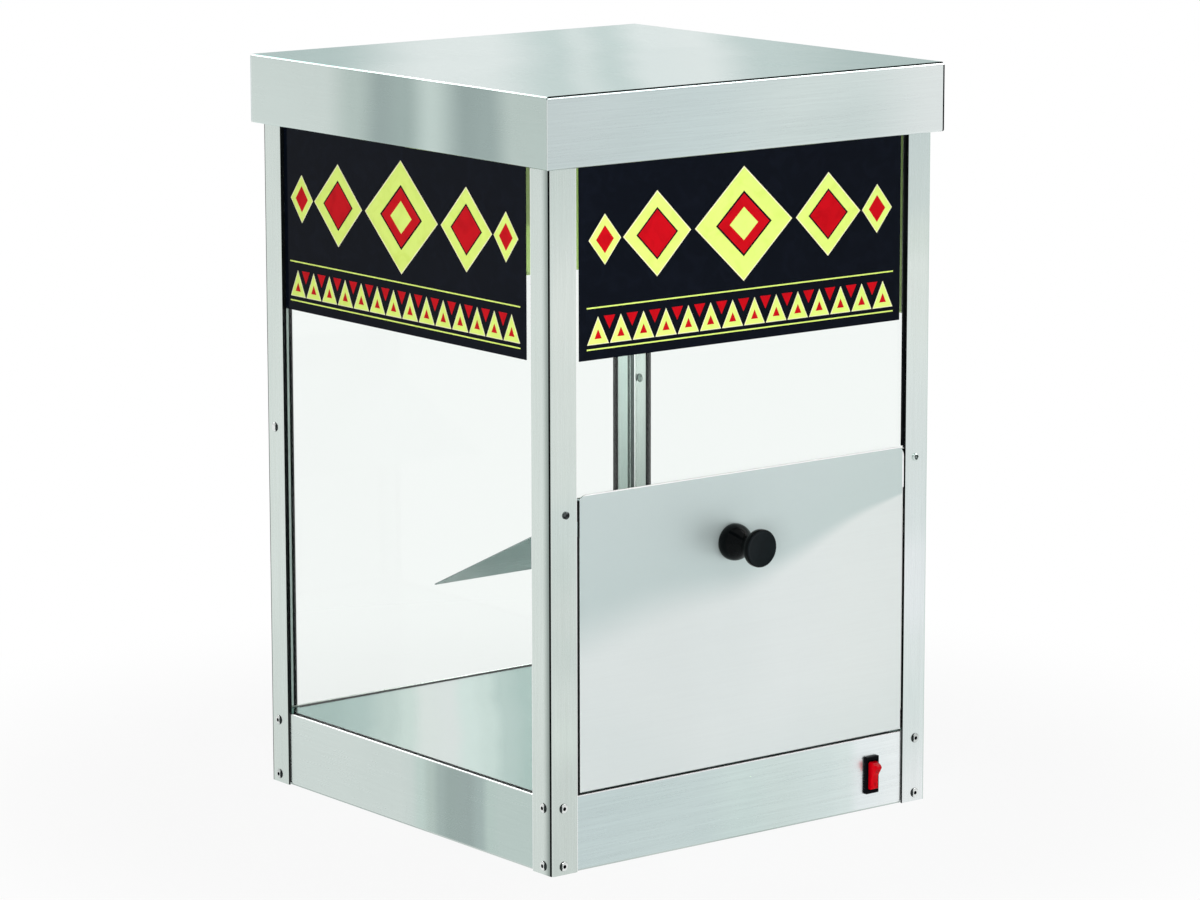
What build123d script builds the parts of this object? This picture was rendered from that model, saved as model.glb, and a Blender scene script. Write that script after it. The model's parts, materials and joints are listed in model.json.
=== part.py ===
from build123d import *
from math import cos, hypot, radians, sin, sqrt
import os

# Countertop chip warmer: a riveted stainless frame with four glazed sides, a lift-off hood,
# a tilt-out serving door under a sloping baffle, and a heated base.
# Millimetres. Origin at the centre of the base on the counter, front face towards -Y, +Z up.

# ---------------------------------------------------------------- driving dimensions
body_width = 392.0
body_depth = 392.0
overall_height = 618.0
base_height = 62.0

post_flange = 25.4
post_sheet = 1.5
post_bend = 1.5
panel_sheet = 1.0
panel_bend = 0.8
weld_gap = 0.2

drill_reach = 12.0
drill_proud = 2.0

hem_height = 5.0
hem_gap = 0.3
base_flange = 14.0
cover_sheet = 1.0
cover_screw_reach = 6.0
cover_slot_width = 0.8
cover_slot_depth = 1.0
vent_length = 34.0
vent_width = 5.0
vent_pitch = 50.0
vent_rows_out = 100.0

glass_thickness = 3.2
glass_clearance = 0.2
glass_seat_gap = 0.3
glass_edge_inset = 10.0
glass_slot_depth = 11.5
glass_headroom = 4.7
glass_arris = 0.4

seal_width = 2.0
seal_edge_gap = 0.4
seal_lift = 1.0
sign_side_gap = 5.1
sign_top_gap = 6.0
sign_height = 172.0
sign_thickness = 0.8
sign_slide = {"left": 4.9}   # towards the rear, where a sign has slid against its seal

floor_drop = 1.0
floor_lip = 3.5
floor_border = 40.0
switch_notch_margin = 2.0

rail_outer_leg = 30.7
rail_inner_leg = 16.7
hood_sheet = 1.0
hood_bend = 1.0
hood_overhang = 7.0
hood_skirt = 57.0
hood_return = 5.0
hood_clearance = 0.3
hood_edge_setback = 1.8
band_flange = 6.1
band_end_gap = 0.2
band_corner_relief = 0.5

door_top = 303.0
door_gap_bottom = 1.5
door_gap_side = 1.6
door_bend = 0.8
door_corner = 8.0
door_flange_depth = 22.0
door_notch = 33.0
door_foot_depth = 16.0
door_foot_rise = 8.0
door_foot_relief = 1.5
door_open_angle = 50.0
door_gap_back = 0.3

pivot_setback = 4.5
pivot_rise = 8.0
pin_radius = 1.5
pin_clearance = 0.05
pin_head_radius = 2.8
pin_head_height = 1.0
hinge_sheet = 1.5
hinge_leg = 12.0
hinge_height = 16.0
hinge_gap = 0.4
hinge_bend = 0.5
hinge_lift = 0.5
stop_ear_reach = 5.5
stop_ear_height = 8.0

baffle_sheet = 1.0
baffle_bend = 1.2
baffle_lap = 3.0
baffle_flange = 17.5
baffle_run = 165.0
baffle_fall = 75.5
baffle_side_gap = 2.3
baffle_ledge_end = 1.5
baffle_screw_drop = 11.0
right_screw_rise = 3.5
baffle_screw_inset = 14.5

knob_x = -14.0
knob_drop = 56.0
knob_base_radius = 15.0
knob_neck_radius = 6.5
knob_disc_radius = 15.4
knob_length = 38.0
knob_waist = 23.5
knob_disc_thickness = 4.5
knob_bore_depth = 14.0
knob_screw_reach = 11.0

rivet_low_z = 7.0
rivet_drop = 8.0
rivet_inset = 11.5
rivet_head_radius = 4.0
rivet_head_height = 1.3
rivet_crown_radius = 2.4
rivet_shank_radius = 2.0
rivet_tail_radius = 2.8
rivet_tail = 1.2
rivet_clearance = 0.05
rear_rivet_z = 306.0

screw_head_radius = 3.0
screw_head_height = 1.8
screw_shank_radius = 1.9
screw_clearance = 0.1
screw_chamfer = 0.8
screw_slot_width = 2.0
screw_slot_depth = 0.9
screw_slot_turn = 35.0
screw_tip = 1.5
pan_head_radius = 4.2
nut_across_flats = 7.0
nut_thickness = 2.8

switch_inset = 59.0
switch_drop = 1.0
bezel_width = 14.0
bezel_height = 31.5
bezel_depth = 3.0
switch_body_width = 12.4
switch_body_height = 28.8
switch_body_depth = 22.5
switch_cutout_clearance = 0.2
rocker_width = 9.2
rocker_clearance = 0.3
rocker_tilt = 14.0
rocker_half_length = 12.2
rocker_pivot_depth = 2.0
rocker_stub_radius = 1.2
rocker_stub_reach = 1.2
rocker_tip = 9.6
rocker_crest = 7.6
rocker_waist = 5.2
rocker_heel = 4.4
rocker_heel_half = 5.0
rocker_well_depth = 10.0
bezel_corner = 0.8
bezel_chamfer = 0.6
tab_width = 6.3
tab_sheet = 0.8
tab_length = 8.0
tab_pitch = 9.0

bushing_inset = 56.0
bushing_drop = 3.0
bushing_radius = 8.0
bushing_flange_radius = 11.5
bushing_bore = 4.2
bushing_flange_height = 3.0
bushing_barb = 1.2
bushing_depth = 11.0

element_radius = 4.0
element_bend = 30.0
element_drop = 16.0
element_front_inset = 76.0
element_end_inset = 31.0
element_side_gap = 21.0
element_pin_radius = 2.0
element_pin_length = 10.0
hanger_inset = 91.0
hanger_width = 14.0
hanger_foot = 14.0
hanger_front_step = 60.0
hanger_rear_step = 95.0
shield_inset = 56.0
shield_margin = 12.0
shield_drop = 17.0
shield_foot = 15.0
shield_rear_inset = 46.0

thermostat_radius = 8.0
thermostat_body_radius = 7.2
thermostat_cap = 3.0
thermostat_height = 11.0
thermostat_ears = 32.0
thermostat_ear_width = 10.0
thermostat_tab_pitch = 9.0
thermostat_tab_length = 7.0

terminal_length = 42.0
terminal_depth = 18.0
terminal_base = 8.0
terminal_tower = 7.0
terminal_tower_width = 11.0
terminal_tower_depth = 12.0
terminal_pitch = 13.0
terminal_bore = 2.6
terminal_bore_lift = 2.0
terminal_side_step = 40.0
terminal_rear_step = 17.0

magnet_width = 28.0
magnet_depth = 13.0
magnet_drop = 16.5
magnet_nose = 3.0
magnet_nose_drop = 1.5

# ---------------------------------------------------------------- derived levels and planes
half_width = body_width / 2
half_depth = body_depth / 2
hood_underside = overall_height - hood_sheet
frame_top = hood_underside - hood_clearance
floor_top = base_height - floor_drop
panel_bottom = cover_sheet
door_sheet = post_sheet - door_gap_back
door_flange_top = door_top - door_notch
baffle_ledge_top = door_top - baffle_lap
baffle_front_low = baffle_ledge_top - baffle_flange
baffle_screw_z = baffle_ledge_top - baffle_screw_drop
baffle_rear_y = baffle_run - half_depth
baffle_rear_z = baffle_front_low - baffle_fall
knob_z = door_top - knob_drop
rivet_high_z = base_height - rivet_drop
switch_x = half_width - switch_inset
switch_z = base_height / 2 - switch_drop
bushing_x = bushing_inset - half_width
bushing_z = base_height / 2 - bushing_drop
hanger_half = half_width - hanger_inset
element_leg_x = hanger_half - element_side_gap
element_height = floor_top - element_drop
element_front_y = element_front_inset - half_depth
element_end_y = half_depth - element_end_inset
hanger_front_y = element_front_y + hanger_front_step
hanger_rear_y = element_end_y - hanger_rear_step
shield_half = half_width - shield_inset
shield_front_y = element_front_y - element_radius - shield_margin
shield_rear_y = half_depth - shield_rear_inset
shield_height = element_height - shield_drop
magnet_low_z = baffle_front_low - magnet_drop
skirt_bottom = overall_height - hood_skirt


def post_inside(half):
    return half - post_sheet


def panel_inside(half):
    return post_inside(half) - panel_sheet


def glass_outside(half):
    return post_inside(half) - 2 * panel_sheet - hem_gap - glass_clearance


def glass_inside(half):
    return glass_outside(half) - glass_thickness


def skirt_outside(half):
    return glass_inside(half) - glass_clearance


foot_top = floor_top - glass_slot_depth
glass_bottom = foot_top + glass_seat_gap
glass_top = frame_top - glass_headroom
sign_top = frame_top - rail_outer_leg - sign_top_gap

# The four sides of the cabinet: name, turn about Z from the front, distance out, half length.
SIDES = [
    ("front", 0, half_depth, half_width),
    ("right", 90, half_width, half_depth),
    ("rear", 180, half_depth, half_width),
    ("left", 270, half_width, half_depth),
]


# ---------------------------------------------------------------- sheet-metal helpers
def folded_profile(points, thickness, inside_radius):
    """Face of a folded sheet whose middle line runs through the points."""
    bend = inside_radius + thickness / 2
    runs = []
    for start, end in zip(points, points[1:]):
        length = hypot(end[0] - start[0], end[1] - start[1])
        runs.append(((end[0] - start[0]) / length, (end[1] - start[1]) / length))
    stations = [("end", points[0], runs[0])]
    for corner, before, after in zip(points[1:-1], runs, runs[1:]):
        turn = before[0] * after[1] - before[1] * after[0]
        along = before[0] * after[0] + before[1] * after[1]
        reach = bend * abs(turn) / (1 + along)
        entry = (corner[0] - before[0] * reach, corner[1] - before[1] * reach)
        leave = (corner[0] + after[0] * reach, corner[1] + after[1] * reach)
        side = 1 if turn > 0 else -1
        centre = (entry[0] - before[1] * bend * side, entry[1] + before[0] * bend * side)
        toward = (corner[0] - centre[0], corner[1] - centre[1])
        scale = hypot(*toward)
        middle = (toward[0] / scale, toward[1] / scale)
        stations.append(("bend", entry, before, leave, after, centre, middle, side))
    stations.append(("end", points[-1], runs[-1]))

    def chain(offset):
        edges = []
        place = None
        for station in stations:
            point, direction = station[1], station[2]
            here = (point[0] - direction[1] * offset, point[1] + direction[0] * offset)
            if place is not None and hypot(here[0] - place[0], here[1] - place[1]) > 1e-4:
                edges.append(Line(place, here))
            place = here
            if station[0] == "bend":
                leave, after, centre, middle, side = station[3:]
                radius = bend - side * offset
                crown = (centre[0] + middle[0] * radius, centre[1] + middle[1] * radius)
                there = (leave[0] - after[1] * offset, leave[1] + after[0] * offset)
                edges.append(ThreePointArc(place, crown, there))
                place = there
        return edges

    left = chain(thickness / 2)
    right = chain(-thickness / 2)
    caps = [Line(left[0] @ 0, right[0] @ 0), Line(left[-1] @ 1, right[-1] @ 1)]
    return make_face(left + right + caps)


def along_x(face, half_length, centre=0.0):
    """Extrude a (Y, Z) face along X, centred on the given X."""
    return Pos(centre, 0, 0) * extrude(Plane.YZ * face, amount=half_length, both=True)


def along_y(face, low, high):
    """Extrude an (X, Z) face along Y between two places."""
    plane = Plane(origin=(0, high, 0), x_dir=(1, 0, 0), z_dir=(0, -1, 0))
    return extrude(plane * face, amount=high - low)


def mitre_wedge(distance, half_length, end_limit, gap):
    """Plan shape that trims a front-side strip: square at its end limit, mitred further in."""
    depth = 2 * floor_border
    reach = half_length - gap
    limit = min(end_limit, reach)
    shoulder = distance - (reach - limit)
    outline = [
        (-limit, -distance - 1),
        (limit, -distance - 1),
        (limit, -shoulder),
        (reach - depth, -(distance - depth)),
        (-(reach - depth), -(distance - depth)),
        (-limit, -shoulder),
    ]
    plan = make_face(Polyline(*outline, close=True))
    return extrude(plan, amount=overall_height)


def mitred_strip(face, half, other_half, gap):
    """Folded strip behind the posts on the front side, ending short of the post bends."""
    distance = post_inside(half)
    reach = post_inside(other_half)
    strip = along_x(face, reach)
    limit = reach - post_bend - weld_gap if gap else reach
    return strip & mitre_wedge(distance, reach, limit, gap)


def turned(shape, angle):
    return Rot(0, 0, angle) * shape


def block(x0, x1, y0, y1, z0, z1):
    corner = Align.MIN
    return Pos(x0, y0, z0) * Box(x1 - x0, y1 - y0, z1 - z0, align=(corner, corner, corner))


def outward_pin(radius, near, far, x, z):
    """Cylinder on the front side, running outwards between two distances from the centre."""
    barrel = Cylinder(radius, far - near, align=(Align.CENTER, Align.CENTER, Align.MIN))
    return Pos(x, -near, z) * Rot(90, 0, 0) * barrel


def drill(radius, half, x, z):
    """Hole cutter through a post flange and what lies behind it on the front side."""
    return outward_pin(radius, half - drill_reach, half + drill_proud, x, z)


def turned_part(outline, x, face, z):
    """Solid of revolution on the front side; the outline is (radius, distance out of the face)."""
    spun = revolve(Plane.XZ * make_face(Polyline(*outline, close=True)), Axis.Z)
    return Pos(x, -face, z) * Rot(90, 0, 0) * spun


# ---------------------------------------------------------------- frame
def rivet_places(half, other_half):
    """Rivets on the front side of one post pair: x, z."""
    x = other_half - rivet_inset
    return [(sign * x, z) for sign in (-1, 1) for z in (rivet_low_z, rivet_high_z)]


def rivet_holes():
    """Drills through the post flanges and base panels on every side."""
    radius = rivet_shank_radius + rivet_clearance
    drills = []
    for name, angle, half, other in SIDES:
        for x, z in rivet_places(half, other):
            drills.append(turned(drill(radius, half, x, z), angle))
    return drills


def rivet_dome():
    """Outline of a domed rivet head, from its crown to its rim."""
    crown = (rivet_crown_radius, rivet_head_height)
    shoulder = (rivet_head_radius * 0.87, rivet_head_height * 0.6)
    return [crown, shoulder, (rivet_head_radius, 0)]


def pop_rivet(x, z, face, grip, angle):
    """Domed rivet whose inner end is pulled up into a bulb behind the sheets."""
    outline = [
        (0, rivet_head_height),
        *rivet_dome(),
        (rivet_shank_radius, 0),
        (rivet_shank_radius, -grip),
        (rivet_tail_radius, -grip),
        (0, -grip - rivet_tail),
    ]
    return turned(turned_part(outline, x, face, z), angle)


def base_rivets():
    grip = post_sheet + panel_sheet
    rivets = []
    for name, angle, half, other in SIDES:
        for x, z in rivet_places(half, other):
            rivets.append(pop_rivet(x, z, half, grip, angle))
    return Compound(children=rivets)


def rear_rivet_y():
    return half_depth - rivet_inset


def rear_post_rivets():
    """One rivet through the side flange of each rear post, domed on both faces."""
    outside = rivet_dome()
    inside = [(radius, -post_sheet - rise) for radius, rise in reversed(outside)]
    outline = [
        (0, rivet_head_height),
        *outside,
        (rivet_shank_radius, 0),
        (rivet_shank_radius, -post_sheet),
        *inside,
        (0, -post_sheet - rivet_head_height),
    ]
    spun = revolve(Plane.XZ * make_face(Polyline(*outline, close=True)), Axis.Z)
    right = Pos(half_width, rear_rivet_y(), rear_rivet_z) * Rot(0, 90, 0) * spun
    left = Pos(-half_width, rear_rivet_y(), rear_rivet_z) * Rot(0, -90, 0) * spun
    return Compound(children=[left, right])


def posts(drills):
    """Four corner angles, drilled for the rivets and the baffle screws."""
    middle_x = half_width - post_sheet / 2
    middle_y = half_depth - post_sheet / 2
    edge_x = half_width - post_flange
    edge_y = half_depth - post_flange
    screw_hole = screw_shank_radius + screw_clearance
    made = {}
    for row, sy in (("front", -1), ("rear", 1)):
        for column, sx in (("left", -1), ("right", 1)):
            corner = (sx * middle_x, sy * middle_y)
            points = [(sx * edge_x, sy * middle_y), corner, (sx * middle_x, sy * edge_y)]
            post = extrude(folded_profile(points, post_sheet, post_bend), amount=frame_top)
            for cutter in drills:
                post -= cutter
            if row == "front":
                x, z = baffle_screw_places()[sx]
                post -= drill(screw_hole, half_depth, x, z)
            else:
                cutter = Cylinder(rivet_shank_radius + rivet_clearance, drill_reach, rotation=(0, 90, 0))
                post -= Pos(sx * half_width, rear_rivet_y(), rear_rivet_z) * cutter
            made[f"{row}_{column}_post"] = post
    return made


def cover_screw_place(half):
    """Plan place of the bottom cover screw on the front side."""
    return 0, -(post_inside(half) - base_flange / 2)


def base_panels(drills):
    """Four folded base panels: bottom flange, web and a closed hem along the top edge."""
    made = {}
    for name, angle, half, other in SIDES:
        web = post_inside(half) - panel_sheet / 2
        hem = web - panel_sheet - hem_gap
        low = panel_bottom + panel_sheet / 2
        high = base_height - panel_sheet / 2
        radius = (panel_sheet + hem_gap) / 2
        hem_low = base_height - hem_height
        hem_points = [(-web, base_height / 2), (-web, high), (-hem, high), (-hem, hem_low)]
        flange_points = [(-web, base_height / 2), (-web, low), (-(web - base_flange), low)]
        upper = folded_profile(hem_points, panel_sheet, radius - panel_sheet / 2)
        lower = folded_profile(flange_points, panel_sheet, panel_bend)
        face = upper + lower
        panel = mitred_strip(face, half, other, weld_gap)
        x, y = cover_screw_place(half)
        panel -= Pos(x, y, low) * Cylinder(screw_shank_radius + screw_clearance, 4 * panel_sheet)
        panel = turned(panel, angle)
        for cutter in drills:
            panel -= cutter
        made[f"{name}_base_panel"] = panel
    made["front_base_panel"] -= switch_cutout()
    made["rear_base_panel"] -= bushing_hole()
    return made


def switch_cutout():
    gap = 2 * switch_cutout_clearance
    cut = Box(switch_body_width + gap, 4 * panel_sheet, switch_body_height + gap)
    return Pos(switch_x, -post_inside(half_depth), switch_z) * cut


def bushing_hole():
    hole = Cylinder(bushing_radius + screw_clearance, 4 * panel_sheet, rotation=(90, 0, 0))
    return Pos(bushing_x, post_inside(half_depth), bushing_z) * hole


def floor_plate():
    """Heated floor: a plate with skirts turned down, feet turned out and lips on the panels."""
    plate_z = floor_top - panel_sheet / 2
    foot_z = foot_top - panel_sheet / 2
    ring = None
    for name, angle, half, other in SIDES:
        skirt = skirt_outside(half) - panel_sheet / 2
        lip = panel_inside(half) - panel_sheet / 2
        points = [
            (-(skirt - floor_border), plate_z),
            (-skirt, plate_z),
            (-skirt, foot_z),
            (-lip, foot_z),
            (-lip, foot_z - floor_lip),
        ]
        face = folded_profile(points, panel_sheet, glass_clearance)
        strip = along_x(face, panel_inside(other)) & mitre_wedge(
            panel_inside(half), panel_inside(other), panel_inside(other), 0
        )
        strip = turned(strip, angle)
        ring = strip if ring is None else ring + strip
    inner_x = skirt_outside(half_width) - floor_border / 2
    inner_y = skirt_outside(half_depth) - floor_border / 2
    plate = ring + block(-inner_x, inner_x, -inner_y, inner_y, floor_top - panel_sheet, floor_top)
    notch_width = switch_body_width + 2 * switch_notch_margin
    notch = Box(notch_width, 2 * switch_body_depth, switch_body_height + switch_notch_margin)
    return plate - Pos(switch_x, -post_inside(half_depth), switch_z) * notch


def bottom_cover():
    """Removable bottom plate with vent slots and countersunk screw holes."""
    x = post_inside(half_width) - post_bend
    y = post_inside(half_depth) - post_bend
    plate = block(-x, x, -y, y, 0, cover_sheet)
    slot = extrude(SlotOverall(vent_length, vent_width), amount=cover_sheet)
    for row in (-vent_rows_out, vent_rows_out):
        for column in (-vent_pitch, 0, vent_pitch):
            plate -= Pos(column, row, 0) * slot
    for x, y, angle in cover_screw_plan():
        plate -= Pos(x, y, 0) * cover_screw_cone(screw_clearance / 2)
        hole = Cylinder(screw_shank_radius + screw_clearance, 2 * cover_sheet)
        plate -= Pos(x, y, cover_sheet / 2) * hole
    return plate


def cover_screw_plan():
    places = []
    for name, angle, half, other in SIDES:
        x, y = cover_screw_place(half)
        turn = radians(angle)
        places.append((x * cos(turn) - y * sin(turn), x * sin(turn) + y * cos(turn), angle))
    return places


def cover_screw_cone(extra):
    low = screw_head_radius + extra
    high = screw_shank_radius + extra
    return Cone(low, high, cover_sheet, align=(Align.CENTER, Align.CENTER, Align.MIN))


def bottom_cover_screws():
    """Countersunk screws, heads flush with the cover, with a driver slot."""
    screws = []
    bottom = (Align.CENTER, Align.CENTER, Align.MIN)
    for x, y, angle in cover_screw_plan():
        shank = Cylinder(screw_shank_radius, cover_screw_reach, align=bottom)
        screw = cover_screw_cone(0) + shank
        screw -= Box(2 * screw_head_radius, cover_slot_width, cover_slot_depth)
        screws.append(Pos(x, y, 0) * Rot(0, 0, angle) * screw)
    return Compound(children=screws)


def top_rails():
    """Four channels that tie the post tops and hold the upper edges of the glass."""
    made = {}
    for name, angle, half, other in SIDES:
        outer = post_inside(half) - panel_sheet / 2
        inner = skirt_outside(half) - panel_sheet / 2
        web = frame_top - panel_sheet / 2
        points = [
            (-outer, frame_top - rail_outer_leg),
            (-outer, web),
            (-inner, web),
            (-inner, frame_top - rail_inner_leg),
        ]
        face = folded_profile(points, panel_sheet, panel_bend)
        rail = mitred_strip(face, half, other, weld_gap)
        made[f"{name}_top_rail"] = turned(rail, angle)
    return made


# ---------------------------------------------------------------- glazing and signs
def pane_bottom(name):
    return baffle_ledge_top + glass_seat_gap if name == "front" else glass_bottom


def glass_panes():
    made = {}
    for name, angle, half, other in SIDES:
        width = other - glass_edge_inset
        low = pane_bottom(name)
        pane = block(-width, width, -glass_outside(half), -glass_inside(half), low, glass_top)
        pane = chamfer(pane.edges().filter_by(Axis.Z), glass_arris)
        made[f"{name}_glass"] = turned(pane, angle)
    return made


def glass_seals():
    """Black rubber strips between each pane and the edge of the post flange."""
    made = {}
    for name, angle, half, other in SIDES:
        low = baffle_ledge_top + seal_lift if name == "front" else base_height + weld_gap
        high = frame_top - rail_outer_leg - weld_gap
        start = other - post_flange + seal_edge_gap
        strips = []
        for sign in (-1, 1):
            middle = sign * (start + seal_width / 2)
            left = middle - seal_width / 2
            right = middle + seal_width / 2
            strip = block(left, right, -post_inside(half), -glass_outside(half), low, high)
            strips.append(turned(strip, angle))
        made[f"{name}_glass_seals"] = Compound(children=strips)
    return made


def signs():
    """Printed sign sheets on the outer face of each pane."""
    made = {}
    for name, angle, half, other in SIDES:
        face = glass_outside(half)
        reach = other - post_flange - sign_side_gap
        slide = sign_slide.get(name, 0)
        low = sign_top - sign_height
        sheet = block(-reach - slide, reach - slide, -face - sign_thickness, -face, low, sign_top)
        made[f"{name}_sign"] = turned(sheet, angle)
    return made


# ---------------------------------------------------------------- baffle
def baffle_screw_places():
    """(X, Z) of the left and right screw; the right hole sits a little higher."""
    x = half_width - baffle_screw_inset
    return {-1: (-x, baffle_screw_z), 1: (x, baffle_screw_z + right_screw_rise)}


def baffle_slope():
    """Start of the sloping run and its unit direction, in (Y, Z)."""
    start = (-(post_inside(half_depth) - baffle_sheet / 2), baffle_front_low)
    end = (baffle_rear_y, baffle_rear_z)
    length = hypot(end[0] - start[0], end[1] - start[1])
    return start, end, ((end[0] - start[0]) / length, (end[1] - start[1]) / length)


def chip_baffle():
    """One folded sheet: ledge under the front pane, screwed flange, slope towards the rear."""
    start, end, direction = baffle_slope()
    ledge_z = baffle_ledge_top - baffle_sheet / 2
    ledge_y = -(glass_inside(half_depth) - baffle_ledge_end)
    points = [(ledge_y, ledge_z), (start[0], ledge_z), start, end]
    face = folded_profile(points, baffle_sheet, baffle_bend)
    baffle = along_x(face, glass_inside(half_width) - baffle_side_gap)
    radius = screw_shank_radius + screw_clearance
    for x, z in baffle_screw_places().values():
        baffle -= drill(radius, half_depth, x, z)
    return baffle


def baffle_screws():
    screws = []
    grip = post_sheet + baffle_sheet
    reach = grip + nut_thickness + screw_tip
    for x, z in baffle_screw_places().values():
        outline = [
            (0, screw_head_height),
            (screw_head_radius - screw_chamfer, screw_head_height),
            (screw_head_radius, screw_head_height - screw_chamfer),
            (screw_head_radius, 0),
            (screw_shank_radius, 0),
            (screw_shank_radius, -reach),
            (0, -reach),
        ]
        screw = turned_part(outline, x, half_depth, z)
        slot = Box(2.4 * screw_head_radius, screw_slot_depth, screw_slot_width)
        slot = Pos(x, -half_depth - screw_head_height, z) * Rot(0, screw_slot_turn, 0) * slot
        screws.append(screw - slot)
    return Compound(children=screws)


def baffle_nuts():
    nuts = []
    back = half_depth - post_sheet - baffle_sheet
    bore = screw_shank_radius + screw_clearance / 2
    plan = RegularPolygon(nut_across_flats / 2, 6, major_radius=False) - Circle(bore)
    for x, z in baffle_screw_places().values():
        nut = extrude(plan, amount=nut_thickness)
        nuts.append(Pos(x, -back, z) * Rot(-90, 0, 0) * nut)
    return Compound(children=nuts)


def magnet_catch():
    """Magnet holder under the slope, just behind the door."""
    start, end, direction = baffle_slope()
    front = -(half_depth - door_sheet - door_gap_back)
    back = front + magnet_depth
    under = baffle_sheet / 2
    slope = direction[1] / direction[0]

    def underside(y):
        return start[1] + (y - start[0]) * slope - under / direction[0]

    contact = front + magnet_nose
    outline = [
        (front, magnet_low_z),
        (back, magnet_low_z),
        (back, underside(back)),
        (contact, underside(contact)),
        (front, underside(contact) - magnet_nose_drop),
    ]
    return along_x(make_face(Polyline(*outline, close=True)), magnet_width / 2)


# ---------------------------------------------------------------- door
door_bottom = base_height + door_gap_bottom
door_half = half_width - post_flange - door_gap_side
pivot_y = -(half_depth - pivot_setback)
pivot_z = door_bottom + pivot_rise
flange_inner = door_half - door_sheet
flange_rear = -(half_depth - door_flange_depth)


def stop_ear_top():
    """Height of the stop ear that meets the back of the post at the open angle."""
    angle = radians(door_open_angle)
    ear_front = flange_rear - door_sheet - pivot_y
    post_back = -post_inside(half_depth) - pivot_y
    return pivot_z + (ear_front * cos(angle) - post_back - door_gap_back) / sin(angle)


def door_panel():
    """Tilt-out door: flat face, side flanges below the notch, foot flange and stop ears."""
    face_middle = -(half_depth - door_sheet / 2)
    flange_middle = door_half - door_sheet / 2
    plan = [
        (-flange_middle, flange_rear),
        (-flange_middle, face_middle),
        (flange_middle, face_middle),
        (flange_middle, flange_rear),
    ]
    pan = extrude(folded_profile(plan, door_sheet, door_bend), amount=door_flange_top - door_bottom)
    pan = Pos(0, 0, door_bottom) * pan
    outer = -half_depth
    sheet = block(-door_half, door_half, outer, outer + door_sheet, door_flange_top - door_sheet, door_top)
    top_edges = sheet.edges().filter_by(Axis.Y).group_by(Axis.Z)[-1]
    sheet = fillet(top_edges, door_corner)
    foot_z = door_bottom + door_sheet / 2
    foot_half = flange_inner - door_foot_relief
    foot_points = [
        (face_middle, door_bottom + door_foot_rise),
        (face_middle, foot_z),
        (face_middle + door_foot_depth, foot_z),
    ]
    foot = along_x(folded_profile(foot_points, door_sheet, door_bend), foot_half)
    corner = door_bend + 2 * door_sheet
    cutter = block(-foot_half, foot_half, outer, outer + corner, door_bottom, door_bottom + corner)
    door = pan + sheet - cutter + foot
    ear_top = stop_ear_top()
    ear_low = ear_top - stop_ear_height
    ear_tip = door_half + stop_ear_reach
    for near, far in ((flange_inner, ear_tip), (-ear_tip, -flange_inner)):
        door += block(near, far, flange_rear - door_sheet, flange_rear, ear_low, ear_top)
    pin_hole = Cylinder(pin_radius + pin_clearance, 2 * half_width, rotation=(0, 90, 0))
    door -= Pos(0, pivot_y, pivot_z) * pin_hole
    door -= drill(screw_shank_radius + screw_clearance, half_depth, knob_x, knob_z)
    return door


def hinge_x():
    return door_half + door_gap_side + hinge_gap


def hinge_brackets():
    """Angle brackets on the back of the front posts that carry the pivot pins."""
    back = -post_inside(half_depth)
    low = door_bottom + hinge_lift
    middle = hinge_x() + hinge_sheet / 2
    brackets = []
    for sign in (-1, 1):
        points = [
            (sign * (middle + hinge_leg), back + hinge_sheet / 2),
            (sign * middle, back + hinge_sheet / 2),
            (sign * middle, back + hinge_leg),
        ]
        angle = extrude(folded_profile(points, hinge_sheet, hinge_bend), amount=hinge_height)
        hole = Cylinder(pin_radius + pin_clearance, 4 * hinge_sheet, rotation=(0, 90, 0))
        brackets.append(Pos(0, 0, low) * angle - Pos(sign * middle, pivot_y, pivot_z) * hole)
    return Compound(children=brackets)


def door_pivot_pins():
    """Headed pins through the door flanges, staked flush in the brackets."""
    outer = hinge_x() + hinge_sheet
    inner = flange_inner - hood_clearance
    pins = []
    for sign in (-1, 1):
        outline = [
            (0, 0),
            (pin_head_radius, 0),
            (pin_head_radius, pin_head_height),
            (pin_radius, pin_head_height),
            (pin_radius, outer - inner + pin_head_height),
            (0, outer - inner + pin_head_height),
        ]
        pin = revolve(Plane.XZ * make_face(Polyline(*outline, close=True)), Axis.Z)
        pins.append(Pos(sign * (inner - pin_head_height), pivot_y, pivot_z) * Rot(0, sign * 90, 0) * pin)
    return Compound(children=pins)


def door_knob():
    """Turned knob: domed base, waisted neck and a flat disc with a raised rim."""
    base = knob_base_radius
    neck = knob_neck_radius
    disc = knob_disc_radius
    top = knob_length
    disc_back = top - knob_disc_thickness
    bore = screw_shank_radius + screw_clearance
    rim = 1.4
    edge = 1.0
    dish = 0.6
    belly = (base * 0.93, knob_waist * 0.35)
    shoulder = (base * 0.62, knob_waist * 0.7)
    flare = (disc * 0.62, (knob_waist + disc_back) / 2 + edge)
    outline = [
        Line((bore, 0), (base - edge, 0)),
        ThreePointArc((base - edge, 0), belly, shoulder),
        ThreePointArc(shoulder, (neck, knob_waist), flare),
        Line(flare, (disc, disc_back)),
        Line((disc, disc_back), (disc, top - edge)),
        Line((disc, top - edge), (disc - edge, top)),
        Line((disc - edge, top), (disc - edge - rim, top)),
        Line((disc - edge - rim, top), (disc - edge - rim - dish, top - dish)),
        Line((disc - edge - rim - dish, top - dish), (0, top - dish)),
        Line((0, top - dish), (0, knob_bore_depth)),
        Line((0, knob_bore_depth), (bore, knob_bore_depth)),
        Line((bore, knob_bore_depth), (bore, 0)),
    ]
    spun = revolve(Plane.XZ * make_face(outline), Axis.Z)
    return Pos(knob_x, -half_depth, knob_z) * Rot(90, 0, 0) * spun


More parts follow.
